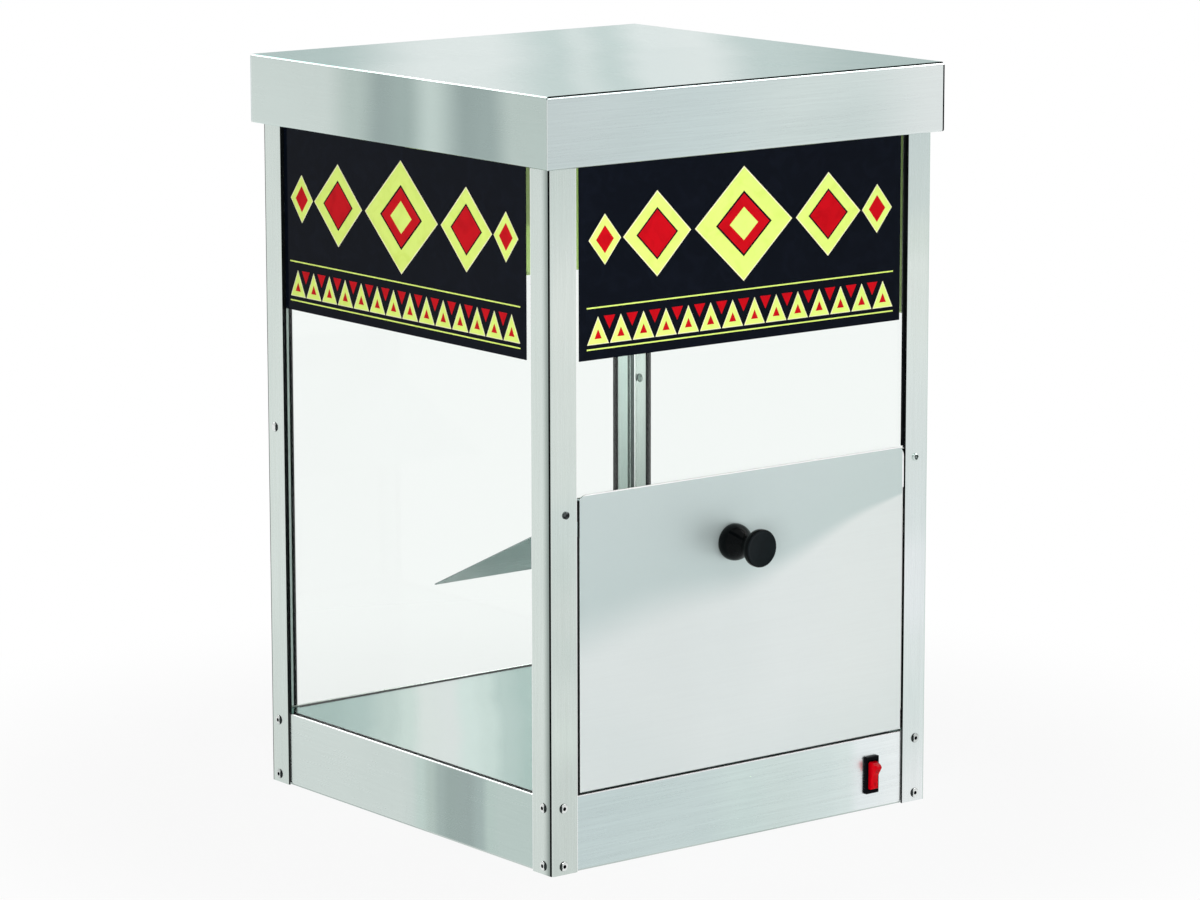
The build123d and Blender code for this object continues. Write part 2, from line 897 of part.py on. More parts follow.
def knob_screw():
    """Pan-head screw from behind the door into the knob."""
    inside = half_depth - door_sheet
    outline = [
        (0, -screw_head_height),
        (pan_head_radius - screw_chamfer, -screw_head_height),
        (pan_head_radius, -screw_head_height + screw_chamfer),
        (pan_head_radius, 0),
        (screw_shank_radius, 0),
        (screw_shank_radius, door_sheet + knob_screw_reach),
        (0, door_sheet + knob_screw_reach),
    ]
    return turned_part(outline, knob_x, inside, knob_z)


# ---------------------------------------------------------------- hood
def hood_top():
    """Lid sheet folded down into both side skirts, with a turned-in bottom edge."""
    out = half_width + hood_overhang - hood_sheet / 2
    top = overall_height - hood_sheet / 2
    low = skirt_bottom + hood_sheet / 2
    lip = out + hood_sheet / 2 - hood_return
    points = [(-lip, low), (-out, low), (-out, top), (out, top), (out, low), (lip, low)]
    face = folded_profile(points, hood_sheet, hood_bend)
    reach = half_depth + hood_overhang - hood_edge_setback
    return along_y(face, -reach, reach)


def hood_band():
    """Front skirt of the hood, its top flange welded under the lid sheet."""
    out = half_depth + hood_overhang - hood_sheet / 2
    top = hood_underside - hood_sheet / 2
    low = skirt_bottom + hood_sheet / 2
    outer = out + hood_sheet / 2
    points = [(-(outer - hood_return), low), (-out, low), (-out, top), (-(outer - band_flange), top)]
    face = folded_profile(points, hood_sheet, hood_bend)
    half = half_width + hood_overhang - band_end_gap
    band = along_x(face, half)
    inset = half_width + hood_overhang - hood_return - band_corner_relief
    inward = band_flange + hood_return
    for sign in (-1, 1):
        near, far = sorted((sign * inset, sign * half))
        band -= block(near, far, -outer + hood_sheet, -outer + inward, skirt_bottom, overall_height)
    return band


# ---------------------------------------------------------------- switch and supply bushing
def rocker_pivot():
    return -(post_inside(half_depth) + bezel_depth - rocker_pivot_depth)


def switch_housing():
    """Snap-in switch body with its bezel, rocker well and three tab terminals."""
    panel_face = -post_inside(half_depth)
    front = panel_face - bezel_depth
    bezel = Box(bezel_width, bezel_depth, bezel_height)
    bezel = fillet(bezel.edges().filter_by(Axis.Y), bezel_corner)
    bezel = chamfer(bezel.faces().sort_by(Axis.Y)[0].edges(), bezel_chamfer)
    bezel = Pos(switch_x, panel_face - bezel_depth / 2, switch_z) * bezel
    body = Box(switch_body_width, switch_body_depth, switch_body_height)
    body = Pos(switch_x, panel_face + switch_body_depth / 2, switch_z) * body
    well_width = rocker_width + 2 * rocker_clearance
    well_height = 2 * (rocker_half_length + 2 * rocker_clearance)
    well = Box(well_width, rocker_well_depth, well_height)
    housing = bezel + body - Pos(switch_x, front + rocker_well_depth / 2, switch_z) * well
    stub_length = rocker_width + 2 * (rocker_stub_reach + rocker_clearance)
    stub = Cylinder(rocker_stub_radius + pin_clearance, stub_length, rotation=(0, 90, 0))
    housing -= Pos(switch_x, rocker_pivot(), switch_z) * stub
    rear = panel_face + switch_body_depth
    for offset in (-tab_pitch, 0.0, tab_pitch):
        tab = Box(tab_width, tab_length, tab_sheet)
        housing += Pos(switch_x, rear + tab_length / 2, switch_z + offset) * tab
    return housing


def switch_rocker():
    """Red rocker, stored with its upper end raised."""
    half = rocker_half_length
    shoulder = 1.5
    taper = 0.7
    outline = [
        (-shoulder, half - taper / 3),
        (-rocker_crest, rocker_tip),
        (-rocker_waist, 0),
        (-rocker_crest, -rocker_tip),
        (-shoulder, -half + taper / 3),
        (shoulder, -half + taper),
        (rocker_heel, -rocker_heel_half),
        (rocker_heel, rocker_heel_half),
        (shoulder, half - taper),
    ]
    body = along_x(make_face(Polyline(*outline, close=True)), rocker_width / 2)
    body = fillet(body.edges().filter_by(Axis.X).group_by(Axis.Y)[0], bezel_corner)
    body += Cylinder(rocker_stub_radius, rocker_width + 2 * rocker_stub_reach, rotation=(0, 90, 0))
    return Pos(switch_x, rocker_pivot(), switch_z) * Rot(rocker_tilt, 0, 0) * body


def cord_bushing():
    """Snap bushing in the rear panel where a supply cord would enter."""
    face = post_inside(half_depth)
    outline = [
        (bushing_bore, bushing_flange_height),
        (bushing_flange_radius - bushing_flange_height / 2, bushing_flange_height),
        (bushing_flange_radius, bushing_flange_height / 2),
        (bushing_flange_radius, 0),
        (bushing_radius, 0),
        (bushing_radius, -panel_sheet),
        (bushing_radius + bushing_barb, -panel_sheet),
        (bushing_radius, -bushing_depth),
        (bushing_bore, -bushing_depth),
    ]
    spun = revolve(Plane.XZ * make_face(Polyline(*outline, close=True)), Axis.Z)
    return Pos(bushing_x, face, bushing_z) * Rot(-90, 0, 0) * spun


# ---------------------------------------------------------------- heater
def heating_element():
    """Sheathed tubular element: two legs and a front run, with a terminal pin at each rear end."""
    leg, front, end = element_leg_x, element_front_y, element_end_y
    bend = element_bend
    near = bend * (1 - sqrt(0.5))
    route = [
        Line((-leg, end), (-leg, front + bend)),
        ThreePointArc((-leg, front + bend), (-leg + near, front + near), (-leg + bend, front)),
        Line((-leg + bend, front), (leg - bend, front)),
        ThreePointArc((leg - bend, front), (leg - near, front + near), (leg, front + bend)),
        Line((leg, front + bend), (leg, end)),
    ]
    path = Pos(0, 0, element_height) * Wire(route)
    start = Plane(origin=(-leg, end, element_height), x_dir=(1, 0, 0), z_dir=(0, -1, 0))
    tube = sweep(start * Circle(element_radius), path=path)
    pin = Cylinder(element_pin_radius, element_pin_length, rotation=(90, 0, 0))
    for x in (-leg, leg):
        tube += Pos(x, end + element_pin_length / 2, element_height) * pin
    return tube


def element_hangers():
    """Two strap hangers welded under the floor that carry the element."""
    low = element_height - element_radius - glass_seat_gap - panel_sheet / 2
    high = floor_top - panel_sheet - panel_sheet / 2
    points = [
        (-hanger_half - hanger_foot, high),
        (-hanger_half, high),
        (-hanger_half, low),
        (hanger_half, low),
        (hanger_half, high),
        (hanger_half + hanger_foot, high),
    ]
    face = folded_profile(points, panel_sheet, panel_bend)
    half = hanger_width / 2
    return Compound(children=[along_y(face, y - half, y + half) for y in (hanger_front_y, hanger_rear_y)])


def heat_shield():
    """Reflector bridge between the element and the bottom cover."""
    low = cover_sheet + panel_sheet / 2
    high = shield_height - panel_sheet / 2
    points = [
        (-shield_half - shield_foot, low),
        (-shield_half, low),
        (-shield_half, high),
        (shield_half, high),
        (shield_half, low),
        (shield_half + shield_foot, low),
    ]
    return along_y(folded_profile(points, panel_sheet, panel_bend), shield_front_y, shield_rear_y)


def thermostat():
    """Snap-disc thermostat pressed against the underside of the floor."""
    top = floor_top - panel_sheet
    hang = (Align.CENTER, Align.CENTER, Align.MAX)
    bottom = top - thermostat_height
    part = Pos(0, 0, top) * Cylinder(thermostat_radius, thermostat_cap, align=hang)
    ears = Box(thermostat_ears, thermostat_ear_width, panel_sheet, align=hang)
    part += Pos(0, 0, top - panel_sheet) * ears
    part += Pos(0, 0, top) * Cylinder(thermostat_body_radius, thermostat_height, align=hang)
    for x in (-thermostat_tab_pitch / 2, thermostat_tab_pitch / 2):
        part += Pos(x, 0, bottom) * Box(tab_sheet, tab_width, thermostat_tab_length, align=hang)
    return part


def terminal_block():
    """Three-way screw terminal block on the bottom cover, beside the cord bushing."""
    rest = (Align.CENTER, Align.CENTER, Align.MIN)
    part = Box(terminal_length, terminal_depth, terminal_base, align=rest)
    tower = Box(terminal_tower_width, terminal_tower_depth, terminal_tower, align=rest)
    tower -= Pos(0, 0, terminal_bore_lift) * Cylinder(terminal_bore, terminal_tower, align=rest)
    for x in (-terminal_pitch, 0.0, terminal_pitch):
        part += Pos(x, 0, terminal_base) * tower
    return Pos(bushing_x + terminal_side_step, shield_rear_y + terminal_rear_step, cover_sheet) * part


# ---------------------------------------------------------------- assembly
def build():
    drills = rivet_holes()
    parts = {}
    parts.update(posts(drills))
    parts.update(base_panels(drills))
    parts["floor_plate"] = floor_plate()
    parts["bottom_cover"] = bottom_cover()
    parts["bottom_cover_screws"] = bottom_cover_screws()
    parts["base_rivets"] = base_rivets()
    parts["rear_post_rivets"] = rear_post_rivets()
    parts.update(top_rails())
    parts.update(glass_panes())
    parts.update(glass_seals())
    parts.update(signs())
    parts["chip_baffle"] = chip_baffle()
    parts["baffle_screws"] = baffle_screws()
    parts["baffle_nuts"] = baffle_nuts()
    parts["magnet_catch"] = magnet_catch()
    parts["door_panel"] = door_panel()
    parts["door_knob"] = door_knob()
    parts["knob_screw"] = knob_screw()
    parts["hinge_brackets"] = hinge_brackets()
    parts["door_pivot_pins"] = door_pivot_pins()
    parts["hood_top"] = hood_top()
    parts["hood_front_band"] = hood_band()
    parts["hood_rear_band"] = turned(hood_band(), 180)
    parts["switch_housing"] = switch_housing()
    parts["switch_rocker"] = switch_rocker()
    parts["cord_bushing"] = cord_bushing()
    parts["heating_element"] = heating_element()
    parts["element_hangers"] = element_hangers()
    parts["heat_shield"] = heat_shield()
    parts["thermostat"] = thermostat()
    parts["terminal_block"] = terminal_block()
    return parts


os.makedirs("parts", exist_ok=True)
for node, shape in build().items():
    export_step(shape, f"parts/{node}.step")
    print(node, len(shape.solids()), round(shape.volume, 1))
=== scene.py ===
import json
import math

import bmesh
import bpy
from mathutils import Matrix, Quaternion, Vector


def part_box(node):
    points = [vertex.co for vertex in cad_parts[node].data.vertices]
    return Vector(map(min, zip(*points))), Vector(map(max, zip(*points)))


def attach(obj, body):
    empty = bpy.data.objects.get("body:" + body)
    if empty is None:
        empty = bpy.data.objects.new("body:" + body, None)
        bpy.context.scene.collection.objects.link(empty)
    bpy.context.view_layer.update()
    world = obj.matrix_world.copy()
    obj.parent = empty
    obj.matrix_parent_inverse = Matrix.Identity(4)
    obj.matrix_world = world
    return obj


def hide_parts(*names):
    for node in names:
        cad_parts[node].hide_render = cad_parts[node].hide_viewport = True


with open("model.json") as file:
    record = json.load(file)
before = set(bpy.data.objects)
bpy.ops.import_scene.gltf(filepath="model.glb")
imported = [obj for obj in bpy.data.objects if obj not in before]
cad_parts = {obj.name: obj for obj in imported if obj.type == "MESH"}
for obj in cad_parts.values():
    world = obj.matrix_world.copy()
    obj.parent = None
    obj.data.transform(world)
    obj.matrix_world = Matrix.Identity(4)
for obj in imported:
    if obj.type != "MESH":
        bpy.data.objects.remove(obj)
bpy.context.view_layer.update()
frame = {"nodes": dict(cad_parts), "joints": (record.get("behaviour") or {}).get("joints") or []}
nodes = frame["nodes"]
sides = {"front": 0, "right": 90, "rear": 180, "left": 270}   # turn about Z from the front
mm = 0.001
print("frame loaded:", len(nodes), "pieces")


# small helpers

def srgb(red, green, blue):
    # colour given in 0-255 display values, as the linear colour that a socket takes
    def linear(value):
        share = value / 255
        return share / 12.92 if share <= 0.04045 else ((share + 0.055) / 1.055) ** 2.4
    return (linear(red), linear(green), linear(blue), 1.0)


def nothingSelected():
    if bpy.context.object and bpy.context.object.mode != "OBJECT":
        bpy.ops.object.mode_set(mode="OBJECT")
    bpy.ops.object.select_all(action="DESELECT")


def pickOnly(piece):
    nothingSelected()
    piece.select_set(True)
    bpy.context.view_layer.objects.active = piece


def openMesh(piece):
    # into edit mode, with all of this piece selected
    pickOnly(piece)
    bpy.ops.object.mode_set(mode="EDIT")
    bpy.ops.mesh.select_all(action="SELECT")


def closeOutward():
    # back to object mode, with every face turned outwards
    bpy.ops.mesh.select_all(action="SELECT")
    bpy.ops.mesh.normals_make_consistent(inside=False)
    bpy.ops.object.mode_set(mode="OBJECT")


def paintFaces(piece, slot, test):
    # gives one of the piece's finishes to the faces whose centre and normal pass the test
    openMesh(piece)
    bpy.ops.mesh.select_all(action="DESELECT")
    mesh = bmesh.from_edit_mesh(piece.data)
    for face in mesh.faces:
        if test(face.calc_center_median(), face.normal):
            face.select_set(True)
    mesh.select_flush_mode()
    bmesh.update_edit_mesh(piece.data)
    piece.active_material_index = slot
    bpy.ops.object.material_slot_assign()
    bpy.ops.object.mode_set(mode="OBJECT")


def place(piece, matrix):
    # puts the place and turn into the mesh, with the object left at the origin
    piece.data.transform(matrix)
    piece.data.update()
    return piece


def joined(pieces, name):
    nothingSelected()
    for piece in pieces:
        piece.select_set(True)
    bpy.context.view_layer.objects.active = pieces[0]
    if len(pieces) > 1:
        bpy.ops.object.join()
    pieces[0].name = name
    pieces[0].data.name = name
    return pieces[0]


def copied(piece, name):
    twin = piece.copy()
    twin.data = piece.data.copy()
    twin.name = name
    bpy.context.scene.collection.objects.link(twin)
    return twin


def smoothByAngle(piece, degrees=35):
    pickOnly(piece)
    bpy.ops.object.shade_smooth_by_angle(angle=math.radians(degrees))


def bevelled(piece, width, segments=3, degrees=30):
    pickOnly(piece)
    bevel = piece.modifiers.new("edges", "BEVEL")
    bevel.width = width
    bevel.segments = segments
    bevel.limit_method = "ANGLE"
    bevel.angle_limit = math.radians(degrees)
    bpy.ops.object.modifier_apply(modifier=bevel.name)
    return piece


def turnedPiece(name, stations, segments, smoothTo=40):
    # lathe work along +Z: a disc extruded from station to station, each (height, radius) in mm
    height, radius = stations[0]
    nothingSelected()
    bpy.ops.mesh.primitive_circle_add(
        vertices=segments, radius=radius * mm, fill_type="NGON", location=(0, 0, height * mm))
    piece = bpy.context.object
    piece.name = name
    bpy.ops.object.transform_apply(location=True, rotation=False, scale=False)
    openMesh(piece)
    for nextHeight, nextRadius in stations[1:]:
        rise = (nextHeight - height) * mm
        bpy.ops.mesh.extrude_region_move(TRANSFORM_OT_translate={"value": (0, 0, rise)})
        grow = nextRadius / radius
        bpy.ops.transform.resize(value=(grow, grow, 1), center_override=(0, 0, nextHeight * mm))
        height, radius = nextHeight, nextRadius
    closeOutward()
    smoothByAngle(piece, smoothTo)
    return piece


def flatShape(name, outline):
    # one face in X and Z with the given outline
    nothingSelected()
    bpy.ops.mesh.primitive_circle_add(vertices=len(outline), radius=0.01, fill_type="NGON")
    piece = bpy.context.object
    piece.name = name
    for vertex, (x, z) in zip(piece.data.vertices, outline):
        vertex.co = (x, 0, z)
    return piece


def plate(name, outline, thickness):
    # flat piece in X and Z, pushed out towards -Y
    piece = flatShape(name, outline)
    openMesh(piece)
    bpy.ops.mesh.extrude_region_move(TRANSFORM_OT_translate={"value": (0, -thickness, 0)})
    closeOutward()
    return piece


def softBar(name, size, edge, segments=3):
    # straight bar round the origin, with softened edges
    nothingSelected()
    bpy.ops.mesh.primitive_cube_add(size=1.0)
    piece = bpy.context.object
    piece.name = name
    place(piece, Matrix.Diagonal((*size, 1.0)))
    return bevelled(piece, edge, segments)


def islandBoxes(node):
    # lowest and highest corner of each separate solid of a CAD node, found on a merged copy
    mesh = bmesh.new()
    mesh.from_mesh(nodes[node].data)
    bmesh.ops.remove_doubles(mesh, verts=mesh.verts, dist=1e-6)
    left = set(mesh.verts)
    boxes = []
    while left:
        heap = [left.pop()]
        found = []
        while heap:
            vertex = heap.pop()
            found.append(vertex.co.copy())
            for edge in vertex.link_edges:
                other = edge.other_vert(vertex)
                if other in left:
                    left.remove(other)
                    heap.append(other)
        low = Vector([min(point[axis] for point in found) for axis in range(3)])
        high = Vector([max(point[axis] for point in found) for axis in range(3)])
        boxes.append((low, high))
    mesh.free()
    return sorted(boxes, key=lambda box: tuple(round(value, 4) for value in box[0]))


# camera
shot = {
    "azimuth": -37.952,
    "elevation": 10.695,
    "roll": -0.09,
    "distance": 3.902,
    "target": (-0.05668, -0.07931, 0.309),
    "lens": 144.2,
    "sensor": 36,
    "clip": (0.1, 60),
}


def makeCamera():
    azimuth, elevation = math.radians(shot["azimuth"]), math.radians(shot["elevation"])
    back = Vector((
        math.sin(azimuth) * math.cos(elevation),
        -math.cos(azimuth) * math.cos(elevation),
        math.sin(elevation),
    ))
    camera = bpy.data.objects.new("studioCamera", bpy.data.cameras.new("studioCamera"))
    bpy.context.scene.collection.objects.link(camera)
    camera.location = Vector(shot["target"]) + back * shot["distance"]
    turn = (-back).to_track_quat("-Z", "Y") @ Quaternion((0, 0, 1), math.radians(shot["roll"]))
    camera.rotation_mode = "QUATERNION"
    camera.rotation_quaternion = turn
    camera.data.lens = shot["lens"]
    camera.data.sensor_width = shot["sensor"]
    camera.data.clip_start, camera.data.clip_end = shot["clip"]
    bpy.context.scene.camera = camera


# node helpers

def feed(tree, socket, value):
    # a number or colour is set on the socket, and anything else is linked to it
    if isinstance(value, (int, float, tuple)):
        socket.default_value = value
    else:
        tree.links.new(value, socket)


def feedAll(tree, node, values):
    for label, value in values.items():
        feed(tree, node.inputs[label], value)


def mathNode(tree, operation, *values):
    node = tree.nodes.new("ShaderNodeMath")
    node.operation = operation
    for socket, value in zip(node.inputs, values):
        feed(tree, socket, value)
    return node.outputs[0]


def times(tree, first, second):
    return mathNode(tree, "MULTIPLY", first, second)


def over(tree, value, limit):
    # 1 where the value is over the limit
    return mathNode(tree, "GREATER_THAN", value, limit)


def under(tree, value, limit):
    return mathNode(tree, "LESS_THAN", value, limit)


def larger(tree, first, second):
    return mathNode(tree, "MAXIMUM", first, second)


def vectorNode(tree, operation, *vectors):
    node = tree.nodes.new("ShaderNodeVectorMath")
    node.operation = operation
    for socket, vector in zip(node.inputs, vectors):
        tree.links.new(vector, socket)
    return node.outputs


def splitAxes(tree, coordinates):
    axes = tree.nodes.new("ShaderNodeSeparateXYZ")
    tree.links.new(coordinates, axes.inputs[0])
    return axes.outputs


def rangeNode(tree, value, fromLow, fromHigh, toLow=0.0, toHigh=1.0, smooth=False):
    node = tree.nodes.new("ShaderNodeMapRange")
    node.interpolation_type = "SMOOTHSTEP" if smooth else "LINEAR"
    feedAll(tree, node, {"Value": value, "From Min": fromLow, "From Max": fromHigh})
    feedAll(tree, node, {"To Min": toLow, "To Max": toHigh})
    return node.outputs["Result"]


def noiseNode(tree, vector, scale, detail, roughness=0.5, distortion=0.0):
    node = tree.nodes.new("ShaderNodeTexNoise")
    feedAll(tree, node, {"Vector": vector, "Scale": scale, "Detail": detail})
    feedAll(tree, node, {"Roughness": roughness, "Distortion": distortion})
    return node.outputs["Fac"]


def mixedSurface(tree, share, first, second):
    # the first shader, giving way to the second as share goes from 0 to 1
    mix = tree.nodes.new("ShaderNodeMixShader")
    for socket, source in zip(mix.inputs, (share, first.outputs[0], second.outputs[0])):
        tree.links.new(source, socket)
    output = [node for node in tree.nodes if node.type == "OUTPUT_MATERIAL"][0]
    tree.links.new(mix.outputs["Shader"], output.inputs["Surface"])


# shared node groups

def newGroup(name, inputs, outputs):
    # takes a Vector and the named inputs with their first values, and gives out numbers
    group = bpy.data.node_groups.new(name, "ShaderNodeTree")
    group.interface.new_socket(name="Vector", in_out="INPUT", socket_type="NodeSocketVector")
    for label, value in inputs.items():
        kind = "NodeSocketVector" if isinstance(value, tuple) else "NodeSocketFloat"
        group.interface.new_socket(name=label, in_out="INPUT", socket_type=kind).default_value = value
    for label in outputs:
        group.interface.new_socket(name=label, in_out="OUTPUT", socket_type="NodeSocketFloat")
    entry = group.nodes.new("NodeGroupInput")
    leave = group.nodes.new("NodeGroupOutput")
    return group, entry.outputs, leave


# noises are scale, detail, roughness and distortion; ranges say where 0 turns to 1
grainMix = {
    "coarse": (1.0, 3.0, 0.62),
    "fine": (4.3, 2.0, 0.6),
    "coarseShare": 0.62,
    "fineShare": 0.38,
    "streakRange": (0.32, 0.68),
    "hairlineRange": (0.3, 0.7),
}


def makeGrainGroup():
    # long fine scratches of a brushed sheet; Stretch is small along the grain, large across it
    group, entry, leave = newGroup("brushedGrain", {"Stretch": (1, 1, 1)}, ["Streaks", "Hairlines"])
    along = vectorNode(group, "MULTIPLY", entry["Vector"], entry["Stretch"])[0]
    coarse = noiseNode(group, along, *grainMix["coarse"])
    fine = noiseNode(group, along, *grainMix["fine"])
    coarseShare = times(group, coarse, grainMix["coarseShare"])
    both = mathNode(group, "ADD", coarseShare, times(group, fine, grainMix["fineShare"]))
    feedAll(group, leave, {
        "Streaks": rangeNode(group, both, *grainMix["streakRange"]),
        "Hairlines": rangeNode(group, fine, *grainMix["hairlineRange"]),
    })
    return group


cloudMix = {
    "noise": (1.0, 1.2, 0.4, 0.35),
    "range": (0.42, 0.62),
}


def makeCloudGroup():
    # broad soft patches of a rolled sheet, between 0 and 1
    low, high = cloudMix["range"]
    group, entry, leave = newGroup(
        "softPatches", {"Stretch": (1, 1, 1), "Offset": (0, 0, 0), "Low": low, "High": high},
        ["Patches", "Swell"])
    along = vectorNode(group, "MULTIPLY", entry["Vector"], entry["Stretch"])[0]
    shifted = vectorNode(group, "ADD", along, entry["Offset"])[0]
    cloud = noiseNode(group, shifted, *cloudMix["noise"])
    patches = rangeNode(group, cloud, entry["Low"], entry["High"], smooth=True)
    feedAll(group, leave, {"Patches": patches, "Swell": cloud})
    return group


smearMix = {
    "scale": 30.0,
    "noise": (5.0, 0.5, 1.1),        # detail, roughness and distortion
    "range": (0.4, 0.75),
}


def makeHandlingGroup():
    # faint wipe marks
    group, entry, leave = newGroup("handlingMarks", {"Scale": smearMix["scale"]}, ["Smears"])
    smear = noiseNode(group, entry["Vector"], entry["Scale"], *smearMix["noise"])
    feedAll(group, leave, {"Smears": rangeNode(group, smear, *smearMix["range"], smooth=True)})
    return group


# places on the folded uprights, in metres from the middle of the cabinet
fold = {
    "edge": 0.17095,          # sheared edges are nearer than this
    "bend": 0.1954,           # the outside of the bend is beyond this in X
    "bendFront": 0.193,       # and beyond this in Y
    "skin": 0.1951,           # nearer than this is the inside of the fold
    "cornerGap": 0.1858,
    "bendShade": (0.184, 0.1945),
    "leftFace": -0.1955,
}


def makeFoldGroup():
    # painted light and shade on a folded upright: black on its sheared edges and outside its bend, a painted
    # highlight on the near edge, painted shade by the near bend and in the inside corner
    group, entry, leave = newGroup(
        "foldLines",
        {"Edge": fold["edge"], "Bend": fold["bend"], "Bend Front": fold["bendFront"], "Skin": fold["skin"]},
        ["Line", "Edge Highlight", "Near Bend Shade", "Inside", "Side Flange", "Corner Gap"])
    wide, deep, tall = splitAxes(group, vectorNode(group, "ABSOLUTE", entry["Vector"])[0])
    x, y, z = splitAxes(group, entry["Vector"])
    side = over(group, wide, deep)
    near = times(group, under(group, x, 0.0), under(group, y, 0.0))
    # painted shade: the sheared edges are painted black where they stand beside the gaps, but for the near
    # post's
    sheared = under(group, mathNode(group, "MINIMUM", wide, deep), entry["Edge"])
    # a painted highlight along the near post's sheared edges
    edgeHighlight = times(group, sheared, near)
    # a painted dark reflection on the outside of the bend
    bend = times(group, over(group, wide, entry["Bend"]), over(group, deep, entry["Bend Front"]))
    # painted shade that deepens towards the near post's bend on its left face
    toFront = rangeNode(group, times(group, y, -1.0), *fold["bendShade"], smooth=True)
    # painted shade in the inside corner gap, on the front and rear flanges
    inner = over(group, wide, fold["cornerGap"])
    feedAll(group, leave, {
        "Line": larger(group, mathNode(group, "SUBTRACT", sheared, edgeHighlight), bend),
        "Edge Highlight": edgeHighlight,
        "Near Bend Shade": times(group, toFront, under(group, x, fold["leftFace"])),
        "Inside": under(group, larger(group, wide, deep), entry["Skin"]),
        "Side Flange": side,
        "Corner Gap": times(group, inner, mathNode(group, "SUBTRACT", 1.0, side)),
    })
    return group


grainGroup = makeGrainGroup()
cloudGroup = makeCloudGroup()
handlingGroup = makeHandlingGroup()
foldGroup = makeFoldGroup()


# materials

def newMaterial(name):
    material = bpy.data.materials.new(name)
    material.use_nodes = True
    tree = material.node_tree
    tree.nodes.clear()
    output = tree.nodes.new("ShaderNodeOutputMaterial")
    shader = tree.nodes.new("ShaderNodeBsdfPrincipled")
    tree.links.new(shader.outputs["BSDF"], output.inputs["Surface"])
    coordinates = tree.nodes.new("ShaderNodeTexCoord").outputs["Object"]
    return material, tree, shader, coordinates


def placedGroup(tree, group, coordinates, **values):
    node = tree.nodes.new("ShaderNodeGroup")
    node.node_tree = group
    feedAll(tree, node, {"Vector": coordinates, **values})
    return node.outputs


def blendColours(tree, factor, first, second, blend="MIX"):
    node = tree.nodes.new("ShaderNodeMix")
    node.data_type = "RGBA"
    node.blend_type = blend
    feed(tree, node.inputs["Factor"], factor)
    for label, value in (("A", first), ("B", second)):
        feed(tree, [s for s in node.inputs if s.name == label and s.type == "RGBA"][0], value)
    return [s for s in node.outputs if s.type == "RGBA"][0]


def tinted(tree, colour, tone):
    return blendColours(tree, 1.0, colour, tone, "MULTIPLY")


def bumpNode(tree, height, distance, strength, normal=None):
    node = tree.nodes.new("ShaderNodeBump")
    feedAll(tree, node, {"Distance": distance, "Strength": strength, "Height": height})
    if normal is not None:
        tree.links.new(normal, node.inputs["Normal"])
    return node.outputs["Normal"]


def grainStretch(axis, along, across):
    return tuple(along if letter == axis else across for letter in "xyz")


def bandedTone(tree, position, bands):
    # tones that follow each other along a position: each its place in metres and its display colour
    low, high = bands[0][0], bands[-1][0]
    ramp = tree.nodes.new("ShaderNodeValToRGB")
    ramp.color_ramp.interpolation = "EASE"
    stops = ramp.color_ramp.elements
    while len(stops) < len(bands):
        stops.new(0.5)
    for stop, (spot, *colour) in zip(stops, bands):
        stop.position = (spot - low) / (high - low)
        stop.color = srgb(*colour)
    tree.links.new(rangeNode(tree, position, low, high), ramp.inputs["Fac"])
    return ramp.outputs["Color"]


brushedSheet = {
    "smearScale": 22.0,
    "smearDulls": 0.03,
    "hairline": 0.00002,
}


def steel(name, pale, shade, grain="z", dull=(0.2, 0.3), along=14.0, across=620.0, streak=0.1,
          patches=(5.0, 5.0, 5.0), offset=(0.0, 0.0, 0.0), swell=0.0006, scratch=0.3, lines=None):
    # brushed stainless sheet: pale and shade are its display colours where it is bright and in its soft
    # patches; lines paints what has a place of its own
    material, tree, shader, coordinates = newMaterial(name)
    brushed = placedGroup(tree, grainGroup, coordinates, Stretch=grainStretch(grain, along, across))
    cloud = placedGroup(tree, cloudGroup, coordinates, Stretch=patches, Offset=offset)
    marks = placedGroup(tree, handlingGroup, coordinates, Scale=brushedSheet["smearScale"])
    colour = blendColours(tree, cloud["Patches"], srgb(*pale), srgb(*shade))
    streakTone = (1 - streak,) * 3 + (1.0,)
    colour = tinted(tree, colour, blendColours(tree, brushed["Streaks"], streakTone, lineColours["bright"]))
    shader.inputs["Metallic"].default_value = 1.0
    # lines paints the painted reflections, highlights and shade that have a place of their own
    if lines:
        colour = lines(tree, coordinates, colour, shader)
    rough = rangeNode(tree, brushed["Streaks"], 0.0, 1.0, *dull)
    smears = times(tree, marks["Smears"], brushedSheet["smearDulls"])
    wave = bumpNode(tree, cloud["Swell"], swell, 1.0)
    feedAll(tree, shader, {
        "Base Color": colour,
        "Roughness": mathNode(tree, "ADD", rough, smears),
        "Normal": bumpNode(tree, brushed["Hairlines"], brushedSheet["hairline"], scratch, wave),
    })
    return material


# colours of painted light and shade: black and the darker ones for painted shade, bright for painted
# highlights and the grain's bright streaks, the pale ones for painted light
lineColours = {
    "black": srgb(14, 18, 18),
    "bright": (1.0, 1.0, 1.0, 1.0),
    "bendShade": srgb(104, 118, 113),
    "insideLitPaint": srgb(252, 255, 254),
    "insideShadedPaint": srgb(228, 238, 236),
    "gap": srgb(70, 80, 78),
    "rimShade": srgb(188, 205, 198),
    "screwRim": srgb(214, 226, 222),
    "screwRing": srgb(62, 72, 70),
    "screwSlot": srgb(138, 150, 148),
}

